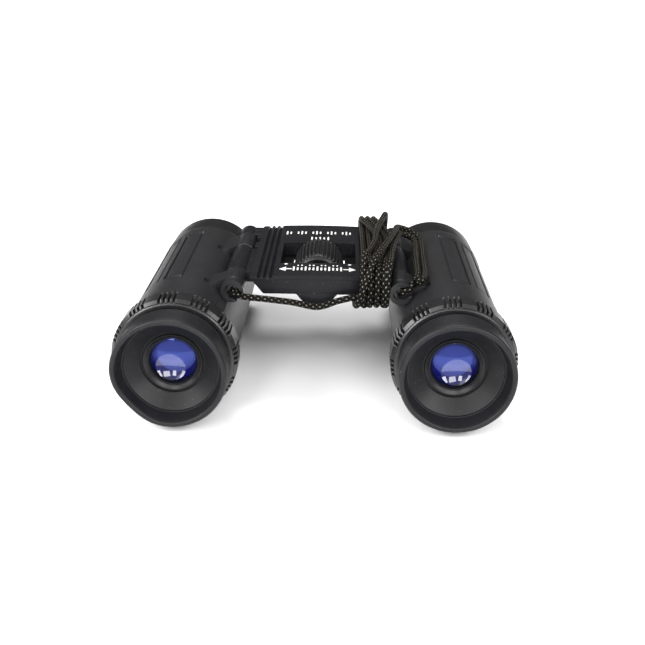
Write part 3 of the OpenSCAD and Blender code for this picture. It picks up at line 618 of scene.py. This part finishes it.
# ---- Objective rings and lenses ----
# A plain black ring closes the front of each barrel, beyond the skin. Inside it a finely threaded retainer
# holds the coated objective in its cell.
ring_coat = moulded("ring_coat", (0.008, 0.008, 0.0086), 0.33, 0.0004, 0.00002, 0.2, 0.2)
retainer_coat = moulded("retainer_coat", (0.008, 0.008, 0.009), 0.5, 0.0002, 0.00003, 0.3, 0.05)
for side, place in barrels:
    mesh = bmesh.new()
    turn_on(mesh, rounded([
        (14.9, 83.9, 0), (15.5, 83.9, 0.3), (15.5, 94.8, 0.7), (13.9, 94.8, 0.5), (12.6, 93.2, 0.2),
        (12.6, 92.6, 0.1), (11.7, 91.8, 0.1), (11.7, 91.0, 0), (14.9, 91.0, 0),
    ]))
    finish_piece(f"ring_{side}", mesh, place, ring_coat, f"{side}_barrel",
                 f"objective_ring_{side}")
    mesh = bmesh.new()
    threads = [(10.5 + 0.16 * (i % 2), 86.2 + 0.15 * i) for i in range(12)]
    turn_on(mesh, threads + [(10.9, 88.05), (11.3, 88.05), (11.3, 86.05), (10.7, 86.05)])
    finish_piece(f"retainer_{side}", mesh, place, retainer_coat, f"{side}_objective",
                 f"objective_retainer_{side}")


def coated(name, inner, outer, tint):
    """Coated glass over a dark inside: a painted reflection of the bright room makes the upper part lighter
    and the colour deepens downwards, painted shade darkens the edge, and there are faint rings.
    """
    material, tree, surface = new_material(name)
    uv = add_node(tree, "ShaderNodeUVMap", {"uv_map": "face"})
    parts = add_node(tree, "ShaderNodeSeparateXYZ", Vector=uv.outputs[0])
    across, up = parts.outputs[0], parts.outputs[1]
    radius = maths(tree, "SQRT", maths(tree, "ADD", maths(tree, "MULTIPLY", across, across),
                                       maths(tree, "MULTIPLY", up, up)))
    rings = maths(tree, "SINE", maths(tree, "MULTIPLY", radius, 42.0))
    cloud = add_node(tree, "ShaderNodeTexNoise", Vector=uv.outputs[0], Scale=2.2, Detail=2.0)
    waves = maths(tree, "ADD", maths(tree, "MULTIPLY", rings, 0.012),
                  maths(tree, "MULTIPLY", cloud.outputs[0], 0.3))
    painted_sky_bow = maths(tree, "ADD", up, maths(tree, "MULTIPLY", maths(tree, "MULTIPLY", across, across), -0.35))
    level = maths(tree, "ADD", maths(tree, "MULTIPLY", painted_sky_bow, 1.1), waves)
    # Painted reflection: the lighter inner colour fills the upper part as the mirrored bright room and gives
    # way to the deep outer colour below.
    shade = add_node(tree, "ShaderNodeValToRGB", Fac=maths(tree, "ADD", level, 0.3))
    shade.color_ramp.elements[0].position = 0.05
    shade.color_ramp.elements[0].color = (*outer, 1)
    shade.color_ramp.elements[1].position = 0.42
    shade.color_ramp.elements[1].color = (*inner, 1)
    # Painted shade: the face turns near-black towards its rim.
    edge = add_node(tree, "ShaderNodeMapRange", {"interpolation_type": "SMOOTHSTEP"}, Value=radius,
                    From_Min=0.82, From_Max=1.0, To_Min=0.0, To_Max=0.85)
    mixed = add_node(tree, "ShaderNodeMix", {"data_type": "RGBA"}, Factor=edge.outputs[0],
                     i6=shade.outputs[0], i7=(0.001, 0.0012, 0.006, 1))
    tree.links.new(mixed.outputs[2], surface.inputs["Base Color"])
    surface.inputs["Roughness"].default_value = 0.03
    surface.inputs["IOR"].default_value = 1.7
    surface.inputs["Specular Tint"].default_value = (*tint, 1)
    # The lens's far face, curved the other way, throws back a second, upside-down picture of the lights.
    normal = add_node(tree, "ShaderNodeTexCoord").outputs["Normal"]
    flipped = add_node(tree, "ShaderNodeVectorMath", {"operation": "MULTIPLY"}, i0=normal,
                       i1=(-2.2, 1.0, -2.2))
    turned = add_node(tree, "ShaderNodeVectorTransform", {"vector_type": "NORMAL", "convert_from": "OBJECT",
                      "convert_to": "WORLD"}, i0=flipped.outputs[0])
    tree.links.new(turned.outputs[0], surface.inputs["Coat Normal"])
    surface.inputs["Coat Weight"].default_value = 1.0
    surface.inputs["Coat IOR"].default_value = 1.65
    surface.inputs["Coat Roughness"].default_value = 0.025
    surface.inputs["Coat Tint"].default_value = (0.8, 0.86, 1.0, 1)
    return material


def lens_piece(name, place, edge, near_y, sag, depth, material, body, node):
    """A lens with its near face bulging towards -y by sag; its UV map runs from -1 to 1 across the face."""
    mesh = bmesh.new()
    outline = [(edge * i / 20, near_y + sag * (i / 20) ** 2) for i in range(21)]
    outline += [(edge, near_y + sag + depth), (0.0, near_y + sag + depth)]
    turn_on(mesh, outline, sides=128)
    uv = mesh.loops.layers.uv.new("face")
    for face in mesh.faces:
        for loop in face.loops:
            loop[uv].uv = (loop.vert.co.x / edge, loop.vert.co.z / edge)
    finish_piece(name, mesh, place, material, body, node, 40)


# The lighter upper colour is a painted reflection of the room; the dark rim is painted shade.
objective_coat_painted_light = coated("objective_coat_painted_light", (0.02, 0.035, 0.09), (0.004, 0.006, 0.02), (0.35, 0.4, 1.0))
for side, place in barrels:
    facing_out = place @ Matrix.Translation((0, 167.5, 0)) @ Matrix.Scale(-1, 4, (0, 1, 0))
    lens_piece(f"objective_{side}", facing_out, 11.3, 81.45, 0.9, 3.7, objective_coat_painted_light,
               f"{side}_objective", f"objective_lens_{side}")


# ---- Grip rings ----
# A moulded ring behind each eyecup, with twelve groups of four grooves between smooth pads; the right one
# turns to set the dioptre. The pads' near ends are chamfered and a smooth collar runs into the skin.
grip_coat = moulded("grip_coat", (0.0075, 0.0075, 0.0082), 0.31, 0.0004, 0.00002, 0.2, 0.25, 0.55)


def set_input(modifier, name, value):
    for item in modifier.node_group.interface.items_tree:
        if item.name == name and getattr(item, "in_out", "") == "INPUT":
            modifier[item.identifier] = value


def around(name, unit, count, step, centre, material):
    """Copies the unit round an axis parallel to y through centre, as one mesh, by Geometry Nodes."""
    tree = bpy.data.node_groups.new(name, "GeometryNodeTree")
    for label, kind in (("Unit", "Object"), ("Count", "Int"), ("Step", "Float"), ("Centre", "Vector"),
                        ("Finish", "Material")):
        tree.interface.new_socket(label, in_out="INPUT", socket_type="NodeSocket" + kind)
    tree.interface.new_socket("Geometry", in_out="OUTPUT", socket_type="NodeSocketGeometry")
    group = tree.nodes.new("NodeGroupInput")
    line = tree.nodes.new("GeometryNodeMeshLine")
    line.inputs["Offset"].default_value = (0, 0, 0)
    info = tree.nodes.new("GeometryNodeObjectInfo")
    index = tree.nodes.new("GeometryNodeInputIndex")
    angle = maths(tree, "MULTIPLY", index.outputs[0], group.outputs["Step"])
    turn = add_node(tree, "ShaderNodeCombineXYZ", Y=angle)
    copies = tree.nodes.new("GeometryNodeInstanceOnPoints")
    real = tree.nodes.new("GeometryNodeRealizeInstances")
    paint = tree.nodes.new("GeometryNodeSetMaterial")
    out = tree.nodes.new("NodeGroupOutput")
    for a, b in ((group.outputs["Count"], line.inputs["Count"]),
                 (group.outputs["Centre"], line.inputs["Start Location"]),
                 (group.outputs["Unit"], info.inputs["Object"]), (line.outputs[0], copies.inputs["Points"]),
                 (info.outputs["Geometry"], copies.inputs["Instance"]),
                 (turn.outputs[0], copies.inputs["Rotation"]), (copies.outputs[0], real.inputs[0]),
                 (real.outputs[0], paint.inputs["Geometry"]),
                 (group.outputs["Finish"], paint.inputs["Material"]), (paint.outputs[0], out.inputs[0])):
        tree.links.new(a, b)
    piece = bpy.data.objects.new(name, bpy.data.meshes.new(name))
    bpy.context.scene.collection.objects.link(piece)
    modifier = piece.modifiers.new("copies", "NODES")
    modifier.node_group = tree
    for label, value in (("Unit", unit), ("Count", count), ("Step", step), ("Centre", centre),
                         ("Finish", material)):
        set_input(modifier, label, value)
    piece.update_tag()
    bake(piece)
    bpy.data.objects.remove(unit)
    return piece


def arc_block(mesh, low, high, profile, steps):
    """A block between two angles whose (radius, y) profile is constant."""
    rows = []
    for k in range(steps + 1):
        angle = math.radians(low + (high - low) * k / steps)
        rows.append([mesh.verts.new((r * math.sin(angle), y, r * math.cos(angle))) for r, y in profile])
    join_rows(mesh, rows)
    ends = [mesh.faces.new(rows[0]), mesh.faces.new(list(reversed(rows[-1])))]
    edges = list({edge for face in ends for edge in face.edges if max(v.co.y for v in edge.verts) < 16.7})
    bmesh.ops.bevel(mesh, geom=edges, offset=0.16, segments=2, profile=0.5, affect="EDGES")


def unit_object(name, mesh, scale=MM):
    """An object to be copied, carved or carved with; scale is 1 where the work goes on in millimetres."""
    bmesh.ops.transform(mesh, matrix=Matrix.Scale(scale, 4), verts=mesh.verts)
    bmesh.ops.recalc_face_normals(mesh, faces=mesh.faces)
    return mesh_object(name, mesh)


rib_profile = [(16.1, 10.35), (16.45, 10.35), (17.2, 11.3), (17.2, 17.0), (16.1, 17.0)]
rib_groups = 12
ring_homes = (("left_barrel", "grip_ring_left"), ("dioptre_ring", "dioptre_ring"))
for (side, place), (body, node) in zip(barrels, ring_homes):
    mesh = bmesh.new()
    turn_on(mesh, rounded([
        (14.95, 10, 0), (15.9, 10, 0.2), (16.3, 10.5, 0.2), (16.3, 16.3, 0.12), (17.15, 16.55, 0.15),
        (17.15, 16.9, 0.6), (16.25, 18.6, 1.5), (15.95, 18.75, 0), (15.95, 18.95, 0), (16.05, 19.0, 0.05),
        (15.85, 19.6, 0.1), (14.95, 19.6, 0),
    ]))
    finish_piece(f"grip_base_{side}", mesh, place, grip_coat, body, node)
    mesh = bmesh.new()
    for middle in (-4.6, 0, 4.6):
        arc_block(mesh, middle - 1.25, middle + 1.25, rib_profile, 2)
    arc_block(mesh, 8.05, 21.95, rib_profile, 10)
    bmesh.ops.transform(mesh, matrix=Matrix.Rotation(math.radians(25.6), 4, "Y"), verts=mesh.verts)
    centre = place @ Vector((0, 0, 0))
    ribs = around(f"grip_ribs_{side}", unit_object("rib_group", mesh), rib_groups,
                  math.radians(360 / rib_groups), centre, grip_coat)
    settle(ribs, body, node)


# ---- Eyecups ----
# A one-piece soft rubber cup with a beaded lip, stretched over the eyepiece's rim. Inside, a steep wall ends
# at a sharp ledge and a dark cone leads down to the bezel. The left one is pressed in a little below.
cup_rubber = moulded("cup_rubber", (0.0075, 0.0075, 0.0084), 0.45, 0.00025, 0.00003, 0.2, 0.35, 0.22)
cup_outline = rounded([
    (8.75, 8.1, 0.1), (12.62, 4.95, 0.15), (12.72, 4.45, 0.06), (12.98, 4.4, 0.06), (13.75, 1.0, 1.2),
    (14.1, 0.0, 0.7), (15.1, 0.0, 0.7), (15.5, 0.75, 0.5), (15.4, 1.55, 0.15), (15.12, 1.72, 0.1),
    (15.12, 1.95, 0.1), (15.25, 2.2, 0.2), (15.2, 9.1, 0.3), (13.35, 9.1, 0), (13.35, 8.7, 0),
    (8.75, 8.7, 0),
])
dent_at, dent_width, dent_depth = -138, 26, 1.0
for (side, place), body in zip(barrels, ("left_barrel", "right_eyepiece")):
    mesh = bmesh.new()
    turn_on(mesh, cup_outline, sides=192)
    if side == "left":
        for vert in mesh.verts:
            off = math.degrees(math.atan2(vert.co.z, vert.co.x)) - dent_at
            press = dent_depth * math.exp(-(off / dent_width) ** 2) * ramp(vert.co.y, 9.1, 1.0)
            press *= ramp(math.hypot(vert.co.x, vert.co.z), 11.0, 13.5)
            vert.co -= press * Vector((vert.co.x, 0, vert.co.z)).normalized()
    finish_piece(f"cup_{side}", mesh, place, cup_rubber, body, f"eyecup_{side}")


# ---- Bezels and eye lenses ----
# A glossy black bezel screws down on the blue-coated eye lens, which bulges towards the eye.
bezel_coat = moulded("bezel_coat", (0.005, 0.005, 0.006), 0.33, 0.0005, 0.00001, 0.2, 0.1)
# The lighter upper colour is a painted reflection of the room; the dark rim is painted shade.
eye_coat_painted_light = coated("eye_coat_painted_light", (0.035, 0.045, 0.19), (0.0025, 0.003, 0.09), (0.3, 0.38, 1.0))
for (side, place), body in zip(barrels, ("left_barrel", "right_eyepiece")):
    mesh = bmesh.new()
    turn_on(mesh, rounded([
        (8.2, 8.3, 0.2), (8.2, 10.4, 0), (6.4, 10.4, 0), (6.4, 10.0, 0.05), (6.7, 9.0, 0.1),
        (6.9, 9.0, 0.05), (6.95, 8.75, 0.05), (8.0, 8.05, 0.2),
    ]))
    finish_piece(f"eye_bezel_{side}", mesh, place, bezel_coat, body, f"bezel_{side}")
    lens_piece(f"eye_glass_{side}", place, 6.4, 8.9, 1.5, 3.2, eye_coat_painted_light, body, f"eye_lens_{side}")


# ---- Bridge ----
# One satin black moulding with a slightly crowned top: three grooves along each side, a square window for
# the wheel, a rounded trough below for the spindle, and two stretches of hinge tube along each side.
# A near-black, almost matt copy of the bridge plastic for the faces inside the wheel window and trough:
# painted shade.
painted_shade_well = moulded("painted_shade_well", (0.002, 0.002, 0.002), 0.8, 0.0003, 0.00004, 0.3, 0.05, 0.08)
bridge_coat = moulded("bridge_coat", (0.0088, 0.0089, 0.0102), 0.34, 0.00045, 0.000015, 0.15, 0.3, 0.12)


def carve(piece, tools, operation):
    """Cuts the tools out of the piece, or joins them to it, and removes them."""
    for tool in tools:
        modifier = piece.modifiers.new("carve", "BOOLEAN")
        modifier.operation = operation
        modifier.object = tool
        modifier.solver = "EXACT"
    bake(piece)
    for tool in tools:
        bpy.data.objects.remove(tool)


def crown(x):
    """Height of the bridge's top, which falls slightly to each side."""
    return 16.6 - x * x / 614.4


tube_x, tube_z = 23.9, 13
top_line = [(float(x), crown(float(x))) for x in np.linspace(-19.2, 19.2, 97)]
groove = ((-0.58, 0.0), (-0.45, 0.12), (-0.22, 0.85), (0.0, 0.93), (0.22, 0.85), (0.45, 0.12), (0.58, 0.0))
for middle in (16.7, 14.95, 13.2):
    for flip in (-1, 1):
        top_line = [p for p in top_line if abs(p[0] - flip * middle) > 0.6]
        top_line += [(flip * middle + dx, crown(middle) - dz) for dx, dz in groove]
top_line.sort()
low_line = rounded([(19.2, 15.6, 0.3), (15.4, 11, 0.5), (-15.4, 11, 0.5), (-19.2, 15.6, 0.3)])
mesh = bmesh.new()
extrude_on(mesh, top_line + low_line, 33, 84, 0.22)
bridge = unit_object("bridge_shell", mesh, 1)

tools = []
for shape in ("trough", "tubes", "tubes", "fills"):
    mesh = bmesh.new()
    if shape == "trough":
        extrude_on(mesh, rounded([
            (-7.2, 11.3, 0), (-5.9, 11.0, 0.6), (-3.5, 8.1, 1.2), (-2.0, 7.1, 1.2), (2.0, 7.1, 1.2),
            (3.5, 8.1, 1.2), (5.9, 11.0, 0.6), (7.2, 11.3, 0),
        ]), 33.003, 83.997, 0.2)
    else:
        flip = -1 if len(tools) % 2 else 1
        for start, end in ((40.7, 62.8), (76, 84)):
            if shape == "tubes":
                turn_on(mesh, rounded([(0, start, 0), (3.3, start, 0.2), (3.3, end, 0.2), (0, end, 0)], 3),
                        flip * tube_x, tube_z, 96)
        if shape == "fills":
            for side_x in (-1, 1):
                for start, end, reach, top in ((40.7, 62.8, 22.5, 14.9), (63.1, 68, 20.5, 15.55),
                                               (72.6, 75.8, 20.5, 15.55), (76, 79.2, 23.6, 15.6),
                                               (80.2, 84, 23.6, 15.6)):
                    xs = sorted((side_x * 18.4, side_x * reach))
                    box_on(mesh, xs[0], xs[1], start, end, 11.7, top, 0.15)
    tools.append(unit_object(shape, mesh, 1))
carve(bridge, tools, "UNION")
tools = []
for x, y0, y1, z0 in ((11.2, 44.7, 64.5, 12.4), (8.2, 44.71, 64.49, 2)):
    mesh = bmesh.new()
    box_on(mesh, -x, x, y0, y1, z0, 20)
    tools.append(unit_object("window", mesh, 1))
for flip in (-1, 1):
    mesh = bmesh.new()
    turn_on(mesh, [(0, 40), (1.55, 40), (1.55, 64), (0, 64)], flip * tube_x, tube_z, 64)
    turn_on(mesh, [(0, 75.4), (1.9, 75.4), (1.9, 82.5), (0, 82.5)], flip * tube_x, tube_z, 64)
    tools.append(unit_object("bore", mesh, 1))
carve(bridge, tools, "DIFFERENCE")
modifier = bridge.modifiers.new("edges", "BEVEL")
modifier.width = 0.14
modifier.segments = 2
modifier.limit_method = "ANGLE"
modifier.angle_limit = math.radians(50)
bake(bridge)
bridge.data.transform(bridge_place)
bridge.data.materials.clear()
bridge.data.materials.append(bridge_coat)
bridge.data.materials.append(painted_shade_well)
# Faces inside the wheel window and the trough below it take the painted shade.
for face in bridge.data.polygons:
    x, y, z = bridge_place.inverted() @ face.center
    face.material_index = int(abs(x) < 11.3 and 44.6 < y < 64.6 and 7.0 < z < 15.6)
settle(bridge, "bridge", "bridge_body", 30)

# Printed marks: a focusing scale with an arrow at each end near the wheel, and two rows of ticks beyond.
print_white = moulded("print_white", (0.62, 0.62, 0.6), 0.5, 0.0002, 0.00001, 0.12, 0.0)
mesh = bmesh.new()


def mark(corners):
    """A thin patch of print that stands just proud of the bridge's top."""
    low = [mesh.verts.new((x, y, crown(x) - 0.05)) for x, y in corners]
    high = [mesh.verts.new((x, y, crown(x) + 0.03)) for x, y in corners]
    mesh.faces.new(list(reversed(low)))
    mesh.faces.new(high)
    join_rows(mesh, [low, high])


def bar_mark(x, y, width, length):
    mark([(x - width / 2, y - length / 2), (x + width / 2, y - length / 2), (x + width / 2, y + length / 2),
          (x - width / 2, y + length / 2)])


for i in range(-6, 7):
    bar_mark(i * 1.15, 39.1 if i % 3 else 39.4, 0.5, 2.2 if i % 3 else 3.4)
    if i % 3:
        bar_mark(i * 1.15, 42.2, 0.45, 0.8)
for flip in (-1, 1):
    mark([(flip * 11.2, 39.2), (flip * 9.2, 37.4), (flip * 9.2, 41.0)][::flip])
    bar_mark(flip * 8.4, 39.2, 1.8, 0.7)
    mark([(flip * 9.4 + 0.5 * math.cos(a), 43.6 + 0.5 * math.sin(a)) for a in np.linspace(0, 5.8, 13)])
for i in range(-9, 10):
    if i % 4 != 1:
        bar_mark(i * 1.2, 75.4, 0.5, 3.4 if i % 2 else 2.2)
for i in range(-2, 3):
    bar_mark(i * 1.3, 69.2, 0.5, 2.2 if i % 2 else 3.0)
finish_piece("printed_marks", mesh, bridge_place, print_white, "bridge", "bridge_body")


# ---- Bottom plate and screws ----
# A thin black plate closes the bridge from below, on four small cross-head screws; the trough runs over it.
# The metal finishes that follow are for the screws and the working parts.
plate_coat = moulded("plate_coat", (0.0115, 0.0115, 0.012), 0.44, 0.0003, 0.00003, 0.2, 0.2)
mesh = bmesh.new()
edge = [(6.1, 35.5), (15.2, 35.5), (15.2, 82.4), (6.1, 82.4), (6.1, 64.2), (8.1, 64.2), (8.1, 44.4),
        (6.1, 44.4)]
for hand in (-1, 1):
    low = [mesh.verts.new((hand * x, y, 10.9)) for x, y in edge]
    high = [mesh.verts.new((hand * x, y, 12.2)) for x, y in edge]
    mesh.faces.new(low)
    mesh.faces.new(list(reversed(high)))
    join_rows(mesh, [high, low])
bmesh.ops.bevel(mesh, geom=list(mesh.edges), offset=0.15, segments=2, profile=0.5, affect="EDGES")
finish_piece("bottom_plate", mesh, bridge_place, plate_coat, "bridge",
             "bridge_bottom_plate")


def metal(name, colour, roughness, scratch):
    """Turned or drawn metal: fine lines round or along it, and a slow change of tone."""
    material, tree, surface = new_material(name)
    place = add_node(tree, "ShaderNodeTexCoord").outputs["Object"]
    stretched = add_node(tree, "ShaderNodeMapping", Vector=place, Scale=(300.0, 9000.0, 300.0))
    lines = add_node(tree, "ShaderNodeTexNoise", Vector=stretched.outputs[0], Scale=1.0, Detail=3.0)
    slow = add_node(tree, "ShaderNodeTexNoise", Vector=place, Scale=400.0, Detail=3.0)
    shade = add_node(tree, "ShaderNodeValToRGB", Fac=slow.outputs[0])
    shade.color_ramp.elements[0].color = (*(c * 0.75 for c in colour), 1)
    shade.color_ramp.elements[1].color = (*(min(1, c * 1.15) for c in colour), 1)
    gloss = add_node(tree, "ShaderNodeMapRange", Value=lines.outputs[0], To_Min=roughness - scratch,
                     To_Max=roughness + scratch)
    bump = add_node(tree, "ShaderNodeBump", Height=lines.outputs[0], Strength=0.3, Distance=0.00002)
    tree.links.new(shade.outputs[0], surface.inputs["Base Color"])
    tree.links.new(gloss.outputs[0], surface.inputs["Roughness"])
    tree.links.new(bump.outputs[0], surface.inputs["Normal"])
    surface.inputs["Metallic"].default_value = 1.0
    return material


steel = metal("steel", (0.5, 0.5, 0.52), 0.32, 0.1)
spring = metal("spring_steel_finish", (0.3, 0.3, 0.31), 0.4, 0.1)
brass = metal("brass_finish", (0.65, 0.45, 0.18), 0.35, 0.1)
alloy = metal("alloy_finish", (0.62, 0.62, 0.63), 0.42, 0.1)


# ---- Focus wheel ----
# A knurled black wheel in the window, with 36 rounded knurls and a sunk near face.
wheel_coat = moulded("wheel_coat", (0.0085, 0.0085, 0.009), 0.38, 0.0004, 0.00002, 0.2, 0.2)
mesh = bmesh.new()
spindle_z, knurl_count = 11.4, 36
turn_on(mesh, rounded([
    (1.5, 47.7, 0), (4.9, 47.7, 0.2), (5.2, 45.9, 0.15), (5.9, 45.75, 0.3), (6.75, 46.5, 0.4),
    (7.02, 47.4, 0.2), (7.02, 61.6, 0.2), (6.3, 62.6, 0.2), (1.5, 62.6, 0),
]), 0, spindle_z)
finish_piece("wheel_core", mesh, bridge_place, wheel_coat, "focus_wheel", "focus_wheel")
mesh = bmesh.new()
knurl = [(-0.36, 6.85), (-0.33, 7.2), (-0.25, 7.45), (-0.12, 7.58), (0.12, 7.58), (0.25, 7.45), (0.33, 7.2),
         (0.36, 6.85)]
rows = []
for y, lower in ((46.15, 0.85), (46.3, 0.5), (46.6, 0.25), (47.1, 0.08), (47.8, 0), (61.3, 0), (62, 0.2),
                 (62.35, 0.6)):
    rows.append([mesh.verts.new((x, y, max(6.6, z - lower))) for x, z in knurl])
join_rows(mesh, rows)
mesh.faces.new(rows[0])
mesh.faces.new(list(reversed(rows[-1])))
wheel_centre = bridge_place @ Vector((0, 0, spindle_z))
knurls = around("wheel_knurls", unit_object("knurl", mesh), knurl_count, math.radians(360 / knurl_count),
                wheel_centre, wheel_coat)
settle(knurls, "focus_wheel", "focus_wheel", 45)


# ---- Working parts inside ----
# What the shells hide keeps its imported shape: spindle, nut, yoke, drive rods, cells, prisms and spacers.
inner_coat = moulded("inner_coat", (0.012, 0.012, 0.012), 0.6, 0.0003, 0.00003, 0.2, 0.1)
prism_glass, tree, surface = new_material("prism_glass")
place = add_node(tree, "ShaderNodeTexCoord").outputs["Object"]
smear = add_node(tree, "ShaderNodeTexNoise", Vector=place, Scale=260.0, Detail=3.0)
shade = add_node(tree, "ShaderNodeValToRGB", Fac=smear.outputs[0])
shade.color_ramp.elements[0].color = (0.3, 0.36, 0.38, 1)
shade.color_ramp.elements[1].color = (0.45, 0.52, 0.53, 1)
gloss = add_node(tree, "ShaderNodeMapRange", Value=smear.outputs[0], To_Min=0.03, To_Max=0.14)
tree.links.new(shade.outputs[0], surface.inputs["Base Color"])
tree.links.new(gloss.outputs[0], surface.inputs["Roughness"])

kept = {
    "bottom_screws": steel, "spindle_bushes": brass, "hinge_washers": spring, "focus_spindle": steel,
    "spindle_clip": spring, "focus_nut": brass, "focus_yoke": alloy, "drive_rods": steel,
    "dioptre_key": brass,
}
for side in ("left", "right"):
    kept |= {
        f"prism_holder_{side}": inner_coat, f"half_penta_prism_{side}": prism_glass,
        f"roof_prism_{side}": prism_glass, f"eyepiece_tube_{side}": inner_coat,
        f"lens_spacer_{side}": inner_coat, f"field_lens_{side}": prism_glass,
        f"objective_cell_{side}": inner_coat, f"drive_fork_{side}": alloy,
    }
for name, material in kept.items():
    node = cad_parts[name]
    node.data.materials.clear()
    node.data.materials.append(material)
